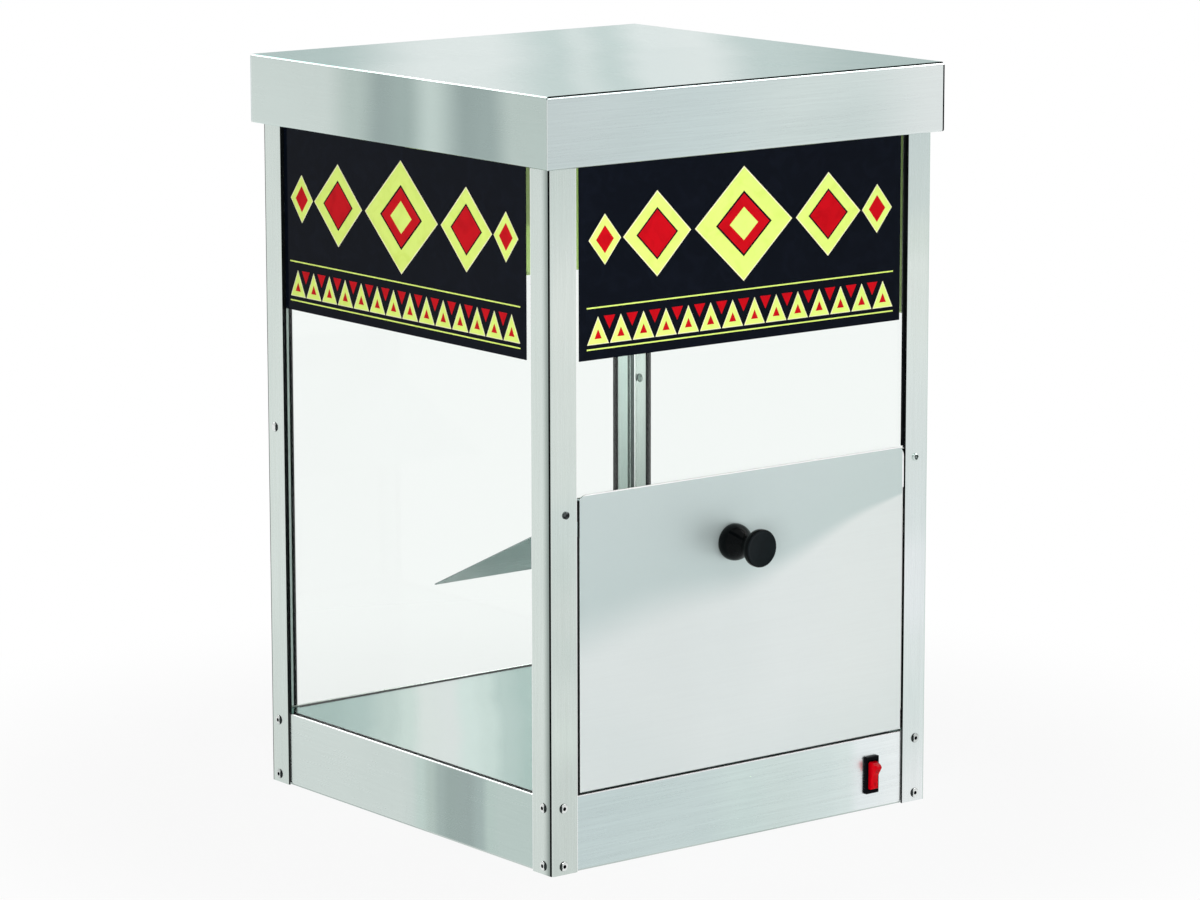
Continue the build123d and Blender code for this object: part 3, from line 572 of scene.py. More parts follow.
# uprights: painted reflections in how their tone changes with height, one tone on their other faces, and
# where their faces and rim are, in metres
uprightBars = {
    "frontFace": -0.1955,
    "rimFrom": 0.1937,
    "bendShade": 0.8,
    "left": srgb(216, 226, 221),
    "near": [(0.0, 209, 219, 214), (0.075, 210, 220, 215), (0.11, 217, 228, 222), (0.14, 215, 225, 220),
             (0.177, 209, 220, 215), (0.212, 212, 222, 217), (0.247, 208, 220, 215),
             (0.282, 209, 221, 217), (0.316, 216, 226, 221), (0.386, 219, 228, 223),
             (0.455, 224, 232, 227), (0.54, 213, 224, 219)],
    "right": [(0.0, 240, 245, 245), (0.09, 227, 237, 235), (0.13, 231, 239, 238), (0.167, 237, 243, 244),
              (0.205, 237, 243, 244), (0.245, 226, 235, 234), (0.3, 223, 232, 230), (0.45, 225, 234, 229),
              (0.475, 216, 227, 221), (0.51, 208, 220, 217), (0.56, 206, 219, 217)],
}


def uprightLines(tree, coordinates, colour, shader):
    # painted reflections in its tones, painted shade on the sheared edges, outside the bend and along the
    # rim, a painted highlight on the near edge, and on the inside of the flanges a pale non-metal paint as
    # painted light
    x, y, z = splitAxes(tree, coordinates)
    # painted reflections: tones by height on the near posts' fronts and on the right-hand posts, one tone on
    # the other faces
    front = under(tree, y, uprightBars["frontFace"])
    tone = blendColours(tree, front, uprightBars["left"], bandedTone(tree, z, uprightBars["near"]))
    tone = blendColours(tree, over(tree, x, 0.0), tone, bandedTone(tree, z, uprightBars["right"]))
    colour = tinted(tree, colour, tone)
    # painted shade along the outer edge of the right post's front
    rim = times(tree, over(tree, x, uprightBars["rimFrom"]), front)
    colour = blendColours(tree, rim, colour, lineColours["rimShade"])
    folded = placedGroup(tree, foldGroup, coordinates)
    # painted shade towards the near post's bend
    shade = times(tree, folded["Near Bend Shade"], uprightBars["bendShade"])
    colour = blendColours(tree, shade, colour, lineColours["bendShade"])
    # painted light on the inside of the flanges, standing in for the white they reflect: pale on the side
    # flange, greyer on the other; it is not metal, so the lamps light it
    insidePaintedLight = blendColours(tree, folded["Side Flange"], lineColours["insideShadedPaint"], lineColours["insideLitPaint"])
    # painted shade in the inside corner gap
    insidePaintedLight = blendColours(tree, folded["Corner Gap"], insidePaintedLight, lineColours["gap"])
    colour = blendColours(tree, folded["Inside"], colour, insidePaintedLight)
    tree.links.new(rangeNode(tree, folded["Inside"], 0.0, 1.0, 1.0, 0.0), shader.inputs["Metallic"])
    # painted highlight on the near post's sheared edges
    colour = blendColours(tree, folded["Edge Highlight"], colour, lineColours["bright"])
    # painted shade in black on the sheared edges, and a painted dark reflection outside the bend
    return blendColours(tree, folded["Line"], colour, lineColours["black"])


# painted light on the right-hand screws: the middle of the head, and the radius of its slot and its dark
# ring, in metres
screwHead = {
    "x": 0.1815,
    "z": 0.2925,
    "slot": 0.0009,
    "ring": 0.0021,
}


def screwTone(tree, coordinates, colour, shader):
    # the right-hand screws are painted lighter than the left ones, as painted light, with a painted dark ring
    # round a mid-grey middle of the head
    x, y, z = splitAxes(tree, coordinates)
    wide = mathNode(tree, "SUBTRACT", x, screwHead["x"])
    tall = mathNode(tree, "SUBTRACT", z, screwHead["z"])
    away = mathNode(tree, "SQRT", mathNode(tree, "ADD", times(tree, wide, wide), times(tree, tall, tall)))
    ring = blendColours(tree, over(tree, away, screwHead["slot"]), lineColours["screwSlot"],
                        lineColours["screwRing"])
    paintedScrewLight = blendColours(tree, over(tree, away, screwHead["ring"]), ring, lineColours["screwRim"])
    return blendColours(tree, over(tree, x, 0.0), colour, paintedScrewLight)


# painted reflections in soft bars on the hood, in metres: across the top they lie at a turn from X, on the
# sides they follow Y
hoodBars = {
    "flatAbove": 0.6172,
    "endEdge": 0.20105,       # the sheared ends are beyond this, on the top and on the far side
    "edgeAbove": 0.6165,
    "farSide": 0.2,
    "topTurn": -37.0,
    "top": [(-0.25, 155, 184, 179), (-0.225, 158, 187, 182), (-0.125, 248, 252, 250),
            (-0.09, 249, 253, 251), (-0.032, 204, 222, 218), (-0.011, 227, 238, 235),
            (0.012, 206, 224, 220), (0.045, 245, 251, 249), (0.085, 249, 253, 251), (0.138, 193, 213, 209),
            (0.235, 150, 179, 174)],
    "topWaver": 0.03,
    "grazingTint": (0.93, 1.0, 0.995, 1.0),
    "side": [(-0.203, 192, 206, 201), (-0.158, 192, 206, 201), (-0.125, 162, 178, 175),
             (-0.095, 158, 174, 171), (-0.048, 200, 215, 210), (-0.012, 164, 181, 177),
             (0.02, 158, 174, 171), (0.055, 184, 199, 194), (0.095, 207, 218, 214),
             (0.203, 209, 220, 216)],
    "sideWaver": 0.018,
}


waverNoise = (7.0, 1.5)       # scale and detail


def turnedPosition(tree, coordinates, degrees, waver):
    # how far a point lies along a line turned from X, with a slow waver added
    x, y, z = splitAxes(tree, coordinates)
    cloud = mathNode(tree, "SUBTRACT", noiseNode(tree, coordinates, *waverNoise), 0.5)
    turn = math.radians(degrees)
    across = mathNode(tree, "ADD", times(tree, x, math.cos(turn)), times(tree, y, math.sin(turn)))
    return mathNode(tree, "ADD", across, times(tree, cloud, waver))


def tonesAlong(degrees, bands, waver=0.012, rimShare=0.0):
    # painted reflections in soft bars that follow each other along one direction of a flat sheet, and a
    # painted highlight on the edge at its top
    def paint(tree, coordinates, colour, shader):
        tone = bandedTone(tree, turnedPosition(tree, coordinates, degrees, waver), bands)
        # painted highlight along the top edge
        rim = times(tree, over(tree, splitAxes(tree, coordinates)[2], sheetBars["rim"]), rimShare)
        return blendColours(tree, rim, tinted(tree, colour, tone), lineColours["bright"])
    return paint


# painted reflections in soft bars on the heated floor and on the base panels, in metres along their own
# direction
sheetBars = {
    "deck": [(-0.224, 155, 194, 187), (-0.199, 171, 206, 200), (-0.173, 202, 228, 221),
             (-0.156, 223, 245, 238), (-0.141, 246, 255, 252), (-0.121, 247, 255, 254),
             (-0.106, 234, 255, 250), (-0.089, 221, 245, 239), (-0.075, 191, 221, 215),
             (-0.055, 171, 208, 201)],
    "deckTurn": -37.0,
    "deckWaver": 0.02,
    # the base panels' painted highlight starts at this height
    "rim": 0.0609,
    "side": [(-0.13, 194, 210, 205), (-0.114, 191, 209, 203), (-0.101, 170, 187, 184),
             (-0.085, 159, 175, 172), (-0.06, 158, 175, 171), (-0.047, 166, 183, 179),
             (-0.033, 183, 200, 194), (-0.019, 197, 215, 209), (-0.002, 208, 220, 216),
             (0.012, 211, 222, 218)],
    "front": [(-0.196, 205, 220, 220), (-0.05, 207, 222, 221), (0.0, 213, 229, 226), (0.04, 217, 231, 228),
              (0.085, 222, 235, 233), (0.11, 228, 240, 238), (0.126, 242, 249, 250),
              (0.18, 250, 255, 255)],
}


def hoodTones(tree, coordinates, colour, shader):
    # painted reflections in soft bars over the lid sheet, and painted shade on the sheared edges at its two
    # ends
    x, y, z = splitAxes(tree, coordinates)
    across = turnedPosition(tree, coordinates, hoodBars["topTurn"], hoodBars["topWaver"])
    along = turnedPosition(tree, coordinates, 90.0, hoodBars["sideWaver"])
    bars = blendColours(tree, over(tree, z, hoodBars["flatAbove"]), bandedTone(tree, along, hoodBars["side"]),
                        bandedTone(tree, across, hoodBars["top"]))
    shader.inputs["Specular Tint"].default_value = hoodBars["grazingTint"]
    # painted shade on the lid's sheared ends
    edge = over(tree, mathNode(tree, "ABSOLUTE", y), hoodBars["endEdge"])
    seen = larger(tree, over(tree, z, hoodBars["edgeAbove"]), over(tree, x, hoodBars["farSide"]))
    return blendColours(tree, times(tree, edge, seen), tinted(tree, bars, colour), lineColours["black"])


# front band: painted reflection, darker by the near corner and with a painted highlight at its far end, which
# ends in a seam of painted shade
frontBand = {
    "tones": [(-0.203, 240, 241, 243), (-0.06, 249, 251, 253), (0.05, 255, 255, 255), (0.203, 255, 255, 255)],
    "brightFrom": 0.1,
    "brightTo": 0.2,
    "bright": 0.4,
    "seamFrom": 0.2012,
    "seamBelow": 0.6155,
}


def bandTones(tree, coordinates, colour, shader):
    x, y, z = splitAxes(tree, coordinates)
    # painted reflection along the band
    colour = tinted(tree, colour, bandedTone(tree, x, frontBand["tones"]))
    # painted highlight towards the far end
    bright = rangeNode(tree, x, frontBand["brightFrom"], frontBand["brightTo"], 0.0, frontBand["bright"],
                       smooth=True)
    colour = blendColours(tree, bright, colour, lineColours["bright"])
    # painted shade in the seam at the far end
    seam = times(tree, over(tree, x, frontBand["seamFrom"]), under(tree, z, frontBand["seamBelow"]))
    return blendColours(tree, seam, colour, lineColours["black"])


# painted reflection: a curved light edge across the door's face, in metres: its height is middle + slope * x
# less a broad dip, and it is softer towards the left
doorSheen = {
    "flange": 0.16865,
    "face": -0.1954,
    "darkTo": -0.1925,
    "steelFrom": -0.1875,
    "foot": 0.0642,
    "leftEdgeShade": -0.1679,
    "rimTop": 0.3021,
    "rimRight": 0.1676,
    "metal": 0.55,
    "middle": 0.2259,
    "slope": 0.2246,
    "dip": 0.0145,
    "dipAt": 0.015,
    "dipReach": 0.12,
    "softReach": 0.165,
    "softLeft": 0.03,
    "softRight": 0.0015,
    "fade": 0.12,
    "faded": 0.8,
    "colour": srgb(198, 212, 210),
    "across": [(-0.17, 244, 245, 246), (-0.08, 245, 246, 247), (-0.02, 248, 249, 250),
               (0.05, 253, 253, 254), (0.12, 255, 255, 255)],
}


def doorLines(tree, coordinates, colour, shader):
    # painted shade on the bends of its return flanges, on its left edge and on its turned-in foot, where they
    # show in the gap round the door, and a painted reflection as a curved sheen across its face
    x, y, z = splitAxes(tree, coordinates)
    # painted shade on the flange bends and the foot, fading to steel deeper in
    side = over(tree, mathNode(tree, "ABSOLUTE", x), doorSheen["flange"])
    deep = rangeNode(tree, y, doorSheen["darkTo"], doorSheen["steelFrom"], 1.0, 0.0, smooth=True)
    behind = times(tree, over(tree, y, doorSheen["face"]), deep)
    shade = larger(tree, times(tree, side, behind), under(tree, z, doorSheen["foot"]))
    # painted reflection: darker above the curved edge
    away = mathNode(tree, "ABSOLUTE", mathNode(tree, "SUBTRACT", x, doorSheen["dipAt"]))
    bow = rangeNode(tree, away, 0.0, doorSheen["dipReach"], -doorSheen["dip"], 0.0, smooth=True)
    slope = times(tree, x, doorSheen["slope"])
    curve = mathNode(tree, "ADD", mathNode(tree, "ADD", slope, bow), doorSheen["middle"])
    above = mathNode(tree, "SUBTRACT", z, curve)
    soft = rangeNode(tree, x, -doorSheen["softReach"], doorSheen["softReach"], doorSheen["softLeft"],
                     doorSheen["softRight"])
    upper = rangeNode(tree, mathNode(tree, "DIVIDE", above, soft), -1.0, 1.0, smooth=True)
    fade = rangeNode(tree, above, 0.0, doorSheen["fade"], 1.0, doorSheen["faded"])
    colour = blendColours(tree, times(tree, upper, fade), colour, doorSheen["colour"])
    # painted reflection, lighter towards the right
    colour = tinted(tree, colour, bandedTone(tree, x, doorSheen["across"]))
    # painted shade on the door's left edge, beside the gap
    leftEdgeShade = times(tree, under(tree, x, doorSheen["leftEdgeShade"]), deep)
    # painted highlight along the door's top and right edges
    rim = larger(tree, over(tree, z, doorSheen["rimTop"]), over(tree, x, doorSheen["rimRight"]))
    colour = blendColours(tree, rim, colour, lineColours["bright"])
    shader.inputs["Metallic"].default_value = doorSheen["metal"]
    return blendColours(tree, larger(tree, shade, leftEdgeShade), colour, lineColours["black"])


# baffle: painted shade on its front flange where it shows in the gaps beside the door
baffleEdge = {
    "ends": 0.1685,
    "front": -0.193,
}


def baffleLines(tree, coordinates, colour, shader):
    x, y, z = splitAxes(tree, coordinates)
    ends = over(tree, mathNode(tree, "ABSOLUTE", x), baffleEdge["ends"])
    flange = times(tree, ends, under(tree, y, baffleEdge["front"]))
    return blendColours(tree, flange, colour, lineColours["black"])


moulded = {
    "smearScale": 60.0,
    "skin": (1800.0, 2.0),        # scale and detail
    "skinDepth": 0.4,
}


def plastic(name, colour, wornColour, dull=(0.28, 0.4), pebble=0.00003, shine=0.5):
    material, tree, shader, coordinates = newMaterial(name)
    smears = placedGroup(tree, handlingGroup, coordinates, Scale=moulded["smearScale"])["Smears"]
    skin = noiseNode(tree, coordinates, *moulded["skin"])
    feedAll(tree, shader, {
        "Base Color": blendColours(tree, smears, srgb(*colour), srgb(*wornColour)),
        "Roughness": rangeNode(tree, smears, 0.0, 1.0, *dull),
        "Normal": bumpNode(tree, skin, pebble, moulded["skinDepth"]),
        "Specular IOR Level": shine,
    })
    return material


pane = {
    "smearScale": 9.0,
    "wave": 0.00001,
    "waveStrength": 0.2,
    "ior": 1.5,
    "mirrorTint": (0.2, 0.2, 0.2, 1.0),
    "clearBeyond": 3.5,       # faces of glass that a ray has gone through
}


def paneGlass(name, tint):
    # clear pane that lets the lamps light what stands behind it, and the far panes too
    material, tree, shader, coordinates = newMaterial(name)
    marks = placedGroup(tree, handlingGroup, coordinates, Scale=pane["smearScale"])
    feedAll(tree, shader, {
        "Normal": bumpNode(tree, marks["Smears"], pane["wave"], pane["waveStrength"]),
        "Base Color": tint,
        "Roughness": 0.0,
        "IOR": pane["ior"],
        "Specular Tint": pane["mirrorTint"],
        "Transmission Weight": 1.0,
    })
    clear = tree.nodes.new("ShaderNodeBsdfTransparent")
    clear.inputs["Color"].default_value = tint
    path = tree.nodes.new("ShaderNodeLightPath").outputs
    beyond = over(tree, path["Transmission Depth"], pane["clearBeyond"])
    mixedSurface(tree, larger(tree, path["Is Shadow Ray"], beyond), shader, clear)
    return material


def makeMaterials():
    ink = {"dull": (0.3, 0.36), "pebble": 0.000004, "shine": 0.05}
    return {
        "upright": steel(
            "uprightSteel", (255, 255, 255), (248, 249, 249), patches=(4.0, 4.0, 3.0),
            lines=uprightLines),
        "sideBand": steel(
            "hoodSheetSteel", (255, 255, 255), (250, 251, 251), "y", streak=0.05, dull=(0.2, 0.27),
            patches=(4.0, 4.0, 4.0), offset=(2.0, 3.0, 1.0), swell=0.001, lines=hoodTones),
        "frontBand": steel(
            "hoodBandSteel", (222, 234, 232), (212, 225, 223), "x", along=9.0, streak=0.12,
            dull=(0.24, 0.34), patches=(3.0, 3.0, 6.0), lines=bandTones),
        "weld": steel("groundWeldSteel", (250, 253, 252), (238, 244, 242), dull=(0.3, 0.4)),
        "baseFront": steel(
            "basePanelSteel", (255, 255, 255), (250, 251, 251), "x", along=9.0, streak=0.12,
            dull=(0.24, 0.34), patches=(4.0, 4.0, 8.0),
            lines=tonesAlong(0.0, sheetBars["front"], rimShare=1.0)),
        "baseSide": steel(
            "sidePanelSteel", (255, 255, 255), (250, 251, 251), "y", streak=0.05, dull=(0.2, 0.28),
            patches=(3.0, 4.0, 3.0), offset=(5.0, 1.0, 3.0),
            lines=tonesAlong(90.0, sheetBars["side"], rimShare=0.5)),
        "deck": steel(
            "heatedFloorSteel", (255, 255, 255), (251, 252, 252), "x", streak=0.04, dull=(0.16, 0.24),
            patches=(3.0, 3.0, 5.0), swell=0.001,
            lines=tonesAlong(sheetBars["deckTurn"], sheetBars["deck"], sheetBars["deckWaver"])),
        "inner": steel("innerSteel", (200, 210, 206), (180, 192, 188), "x", streak=0.06),
        "slope": steel(
            "slopeSteel", (142, 158, 156), (126, 142, 140), "x", dull=(0.25, 0.35), lines=baffleLines),
        "door": steel(
            "doorSteel", (229, 235, 233), (223, 231, 229), "x", streak=0.03, dull=(0.44, 0.5),
            patches=(3.0, 3.0, 4.0), scratch=0.08, lines=doorLines),
        "hardware": steel(
            "hardwareSteel", (236, 240, 238), (200, 206, 204), along=300.0, across=300.0,
            dull=(0.12, 0.22), swell=0.00003),
        # darker steel for the painted shade on the rivet flanks
        "rivetShade": steel(
            "rivetShadeSteel", (58, 66, 64), (44, 52, 50), along=300.0, across=300.0, swell=0.00003),
        "darkScrew": steel(
            "zincScrewSteel", (92, 98, 98), (40, 44, 44), along=500.0, across=500.0, streak=0.3,
            dull=(0.25, 0.4), patches=(200.0, 200.0, 200.0), swell=0.00005, lines=screwTone),
        "sheath": steel(
            "elementSheathSteel", (96, 92, 86), (60, 56, 54), "y", streak=0.2, dull=(0.35, 0.5)),
        "reflector": steel(
            "reflectorAluminium", (222, 224, 226), (200, 204, 206), "y", dull=(0.15, 0.25)),
        "glass": paneGlass("paneGlass", (0.982, 0.996, 0.99, 1.0)),
        # the right and rear panes take a darker tint, painted shade that dims what is seen through them
        "farGlassPaintedShade": paneGlass("farPaneGlassPaintedShade", (0.92, 0.945, 0.93, 1.0)),
        "rubber": plastic(
            "sealRubber", (6, 8, 9), (14, 16, 18), dull=(0.5, 0.65), pebble=0.00008, shine=0.1),
        "blackPlastic": plastic(
            "mouldedBlackPlastic", (4, 5, 8), (8, 10, 14), dull=(0.26, 0.38), shine=0.03),
        "knob": plastic(
            "glossBlackKnob", (3, 5, 6), (6, 9, 10), dull=(0.04, 0.06), pebble=0.000003, shine=0.06),
        "knobDisc": plastic(
            "mattBlackKnobFace", (15, 21, 23), (20, 26, 29), dull=(0.35, 0.45), shine=0.06),
        "rocker": plastic(
            "redRockerPlastic", (204, 0, 18), (184, 0, 14), dull=(0.12, 0.18), pebble=0.00001,
            shine=0.06),
        "ivory": plastic("ivoryInsulator", (226, 222, 208), (205, 200, 184), dull=(0.4, 0.5)),
        "signBlack": plastic(
            "signBlackFilm", (9, 14, 23), (13, 18, 28), dull=(0.1, 0.16), pebble=0.000004, shine=0.03),
        "signLime": plastic("signLimeInk", (230, 252, 131), (223, 246, 118), **ink),
        "signRed": plastic("signRedInk", (204, 12, 26), (188, 9, 22), **ink),
        "signCream": plastic("signCreamInk", (250, 250, 206), (244, 244, 190), **ink),
        "signBack": plastic(
            "signReverseFilm", (178, 202, 126), (170, 194, 121), dull=(0.34, 0.38), pebble=0.000004,
            shine=0.2),
    }


materials = makeMaterials()
print("materials made:", len(materials))


def wear(piece, *names):
    piece.data.materials.clear()
    for name in names:
        piece.data.materials.append(materials[name])


# finishes of the CAD pieces
nodeFinish = {
    "upright": ["front_left_post", "front_right_post", "rear_left_post", "rear_right_post"],
    "baseFront": ["front_base_panel", "rear_base_panel"],
    "baseSide": ["left_base_panel", "right_base_panel"],
    "deck": ["floor_plate"],
    "inner": ["bottom_cover", "front_top_rail", "right_top_rail", "rear_top_rail", "left_top_rail"],
    "slope": ["chip_baffle"],
    "door": ["door_panel"],
    "sideBand": ["hood_top"],
    "frontBand": ["hood_front_band", "hood_rear_band"],
    "hardware": ["bottom_cover_screws", "baffle_nuts", "knob_screw", "hinge_brackets", "door_pivot_pins",
                 "element_hangers", "rear_post_rivets", "base_rivets"],
    "darkScrew": ["baffle_screws"],
    "glass": ["front_glass", "left_glass"],
    "farGlassPaintedShade": ["right_glass", "rear_glass"],
    "rubber": [f"{side}_glass_seals" for side in sides],
    "blackPlastic": ["magnet_catch", "switch_housing", "cord_bushing", "thermostat"],
    "knob": ["door_knob"],
    "rocker": ["switch_rocker"],
    "signBlack": [f"{side}_sign" for side in sides],
    "sheath": ["heating_element"],
    "reflector": ["heat_shield"],
    "ivory": ["terminal_block"],
}
for finish, names in nodeFinish.items():
    for nodeName in names:
        wear(nodes[nodeName], finish)


# rivets
rivet = {
    # height out of the sheet and radius, in mm, from the closed end inside to the mandrel hole
    "tail": [(-3.7, 1.2), (-3.4, 2.2), (-2.9, 2.75), (-2.5, 2.8), (-2.5, 2.0), (0.0, 2.0)],
    "head": [(0.0, 4.0), (0.35, 3.98), (0.62, 3.8), (0.88, 3.45), (1.1, 2.9), (1.24, 2.3), (1.3, 1.9)],
    "hole": [(1.24, 1.55), (1.0, 1.4), (0.2, 1.3)],
    "headHeight": 1.3,
    "holeRadius": 1.52,
    "holeTop": 1.15,
    "rimHeight": 0.55,
    "rimSteep": 0.7,
    "crown": (1.32, 0.6),         # the rear rivets' heads are closed, one on each side of the sheet
    "sheet": 1.5,
    "shank": 2.0,
    "turnedSides": ("left", "rear"),
    "shadeFrom": 2.1,             # the shaded flank begins this far from the middle, between two heights
    "shadeHeights": (0.66, 1.2),
    "tailShade": (-2.82, -2.2),
    "tailFacing": -0.1,
    "segments": 32,
}


def outward(low, high):
    # the side of the cabinet that a rivet is on
    middle = (low + high) / 2
    reach = {"front": -middle.y, "right": middle.x, "rear": middle.y, "left": -middle.x}
    return max(reach, key=reach.get)


def onSide(x, distance, z, side):
    # a piece made along +Z, laid out along the outward normal of a side
    turn = Matrix.Rotation(math.radians(sides[side]), 4, "Z")
    return turn @ Matrix.Translation((x, -distance, z)) @ Matrix.Rotation(math.radians(90), 4, "X")


def alongSide(low, high, side):
    # how far the middle of a box lies along a side, seen from outside, to the right of its centre
    middle = (low + high) / 2
    return {"front": middle.x, "right": middle.y, "rear": -middle.x, "left": -middle.y}[side]


def rivetSpots(node):
    # x along the side, distance of the head's seat from the centre, z and side of every rivet
    spots = []
    for low, high in islandBoxes(node):
        side = outward(low, high)
        face = {"front": -low.y, "right": high.x, "rear": high.y, "left": -low.x}[side]
        spots.append((alongSide(low, high, side), face, (low.z + high.z) / 2, side))
    return spots


def makeRivets(node, name, stations):
    model = turnedPiece(name, stations, rivet["segments"])
    wear(model, "hardware", "blackPlastic", "rivetShade")
    # painted shade: black in the mandrel hole and round the foot of the head, and darker steel on one flank
    # of each head
    bore, boreTop, rim = [rivet[key] * mm for key in ("holeRadius", "holeTop", "rimHeight")]
    paintFaces(model, 1, lambda at, normal: math.hypot(at.x, at.y) < bore and 0 < at.z < boreTop)
    paintFaces(model, 1, lambda at, normal: 0 < at.z < rim and abs(normal.z) < rivet["rimSteep"])
    flank = rivet["shadeFrom"] * mm
    low, high = [height * mm for height in rivet["shadeHeights"]]
    paintFaces(model, 2, lambda at, normal: at.x < -flank and low < at.z < high)
    foot, neck = [height * mm for height in rivet["tailShade"]]
    facing = rivet["tailFacing"]
    paintFaces(model, 2, lambda at, normal: at.x > flank and foot < at.z < neck and normal.z < facing)
    copies = []
    for index, (x, face, z, side) in enumerate(rivetSpots(node)):
        half = Matrix.Rotation(math.radians(180 if side in rivet["turnedSides"] else 0), 4, "Z")
        seat = onSide(x, face - rivet["headHeight"] * mm, z, side)
        copies.append(place(copied(model, f"{name}_{index}"), seat @ half))
    bpy.data.objects.remove(model)
    group = joined(copies, name)
    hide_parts(node)
    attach(group, "cabinet")


def rearStations():
    # from the head inside, through the sheet, to the head outside
    head = rivet["head"] + [rivet["crown"]]
    inside = [(-rivet["sheet"] - height, radius) for height, radius in reversed(head)]
    return inside + [(-rivet["sheet"], rivet["shank"]), (0.0, rivet["shank"])] + head


# door knob
knob = {
    # height from the door and radius in mm: domed foot, waist, flat disc with a rolled rim
    "profile": [(0.0, 13.6), (0.5, 14.4), (1.8, 14.95), (4.0, 15.1), (6.4, 14.85), (8.8, 14.1),
                (11.2, 12.9), (13.6, 11.3), (15.8, 9.7), (18.0, 8.2), (20.2, 7.1), (22.2, 6.55),
                (24.0, 6.5), (25.8, 6.95), (27.6, 8.1), (29.2, 10.0), (30.6, 12.2), (31.8, 14.0),
                (32.7, 15.0), (33.6, 15.4), (36.6, 15.4), (37.3, 15.2), (37.8, 14.75), (38.0, 14.1),
                (37.95, 13.4), (37.6, 12.9), (37.35, 12.2), (37.3, 2.0)],
    "segments": 64,
    # the matt face is what looks outwards beyond this height
    "faceFrom": 37.0,
    "faceFacing": 0.9,
}


def makeKnob():
    low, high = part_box("door_knob")
    piece = turnedPiece("turned_door_knob", knob["profile"], knob["segments"])
    wear(piece, "knob", "knobDisc")
    faceFrom = knob["faceFrom"] * mm
    paintFaces(piece, 1, lambda at, normal: normal.z > knob["faceFacing"] and at.z > faceFrom)
    place(piece, onSide((low.x + high.x) / 2, -high.y, (low.z + high.z) / 2, "front"))
    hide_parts("door_knob")
    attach(piece, "door")


# switch rocker
rocker = {
    "tilt": 14.0,
    # outward and upward from the pivot, in mm, at right angles to the raised rocker
    "outline": [(1.5, 11.9), (5.2, 11.3), (7.5, 9.7), (7.5, 8.9), (5.7, 3.2), (5.2, 0.0), (5.7, -3.2),
                (7.5, -8.9), (7.5, -9.7), (5.2, -11.3), (1.5, -11.9), (-1.5, -11.5), (-4.4, -5.0),
                (-4.4, 5.0), (-1.5, 11.5)],
    "edge": 0.5,
    "edgeTurn": 25,
    "smoothTo": 30,
    "inset": 2.3,
    # on and off marks: how far outward and upward on the two sloping faces, size and height in mm
    "markAt": (6.6, 6.05),
    "markFaceTurn": 17.5,
    "onStroke": (0.5, 3.0),
    "offRing": (1.4, 0.22),
    "ringSegments": (32, 8),
    "markProud": 0.08,
    "markSink": 0.2,
    "strokeDeep": 0.4,
    "strokeEdge": 0.06,
}


def makeRockerMarks():
    # a stroke on the lower face and a ring on the upper one, sunk into the plastic but for a hair
    wide, tall = rocker["onStroke"]
    size = (wide * mm, rocker["strokeDeep"] * mm, tall * mm)
    stroke = softBar("stroke", size, rocker["strokeEdge"] * mm, 2)
    nothingSelected()
    ringSize, thick = rocker["offRing"]
    around, across = rocker["ringSegments"]
    bpy.ops.mesh.primitive_torus_add(
        major_radius=ringSize * mm, minor_radius=thick * mm, major_segments=around, minor_segments=across)
    ring = bpy.context.object
    place(ring, Matrix.Rotation(math.radians(90), 4, "X"))
    out, up = rocker["markAt"]
    sunk = Matrix.Translation((0, (rocker["markSink"] - rocker["markProud"]) * mm, 0))
    for mark, side in ((stroke, -1), (ring, 1)):
        lean = Matrix.Rotation(math.radians(side * rocker["markFaceTurn"]), 4, "X")
        place(mark, Matrix.Translation((0, -out * mm, side * up * mm)) @ lean @ sunk)
        wear(mark, "blackPlastic")
    return [stroke, ring]


def makeRocker():
    low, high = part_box("switch_rocker")
    pivot = [joint for joint in frame["joints"] if joint["child"] == "rocker"][0]["pos_m"]
    half = min(high.x - pivot[0], pivot[0] - low.x) - rocker["inset"] * mm
    body = plate("body", [(z * mm, y * mm) for y, z in rocker["outline"]], 2 * half)
    # the plate's X, Y and Z become the rocker's Z, X and outward -Y
    place(body, Matrix(((0, -1, 0, -half), (0, 0, -1, 0), (1, 0, 0, 0), (0, 0, 0, 1))))
    openMesh(body)
    closeOutward()
    bevelled(body, rocker["edge"] * mm, degrees=rocker["edgeTurn"])
    smoothByAngle(body, rocker["smoothTo"])
    wear(body, "rocker")
    piece = joined([body] + makeRockerMarks(), "lit_rocker")
    lean = Matrix.Rotation(math.radians(rocker["tilt"]), 4, "X")
    place(piece, Matrix.Translation(pivot) @ lean)
    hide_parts("switch_rocker")
    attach(piece, "rocker")


# signs
sign = {
    "ink": 0.00012,
    # rows of lozenges: x, half width and half height, in metres, on a line above the lower edge
    "rowHeight": 0.094,
    "lozenges": [(0.0, 0.050, 0.046), (0.088, 0.034, 0.034), (0.140, 0.016, 0.020)],
    # rings from the rim inwards: how far each is set in, in metres, and its ink
    "largeRings": [(0, "cream"), (0.0009, "lime"), (0.0135, "black"), (0.0016, "red"), (0.0080, "lime")],
    "smallRings": [(0, "cream"), (0.0008, "lime"), (0.0085, "black"), (0.0013, "red")],
    "endRings": [(0, "cream"), (0.0006, "lime"), (0.0050, "red")],
    "toothRings": [(0, "cream"), (0.0006, "lime"), (0.0038, "red")],
    "teeth": {"count": 14, "pitch": 0.0226, "foot": 0.012, "height": 0.022, "width": 0.0214},
    "flecks": {"width": 0.0112, "drop": 0.0105},
    "line": {"half": 0.158, "at": (0.0078, 0.0405), "height": 0.0011},
    "boardEdge": 0.0002,
    "backFacing": 0.9,
}
inks = ["cream", "lime", "red", "black"]


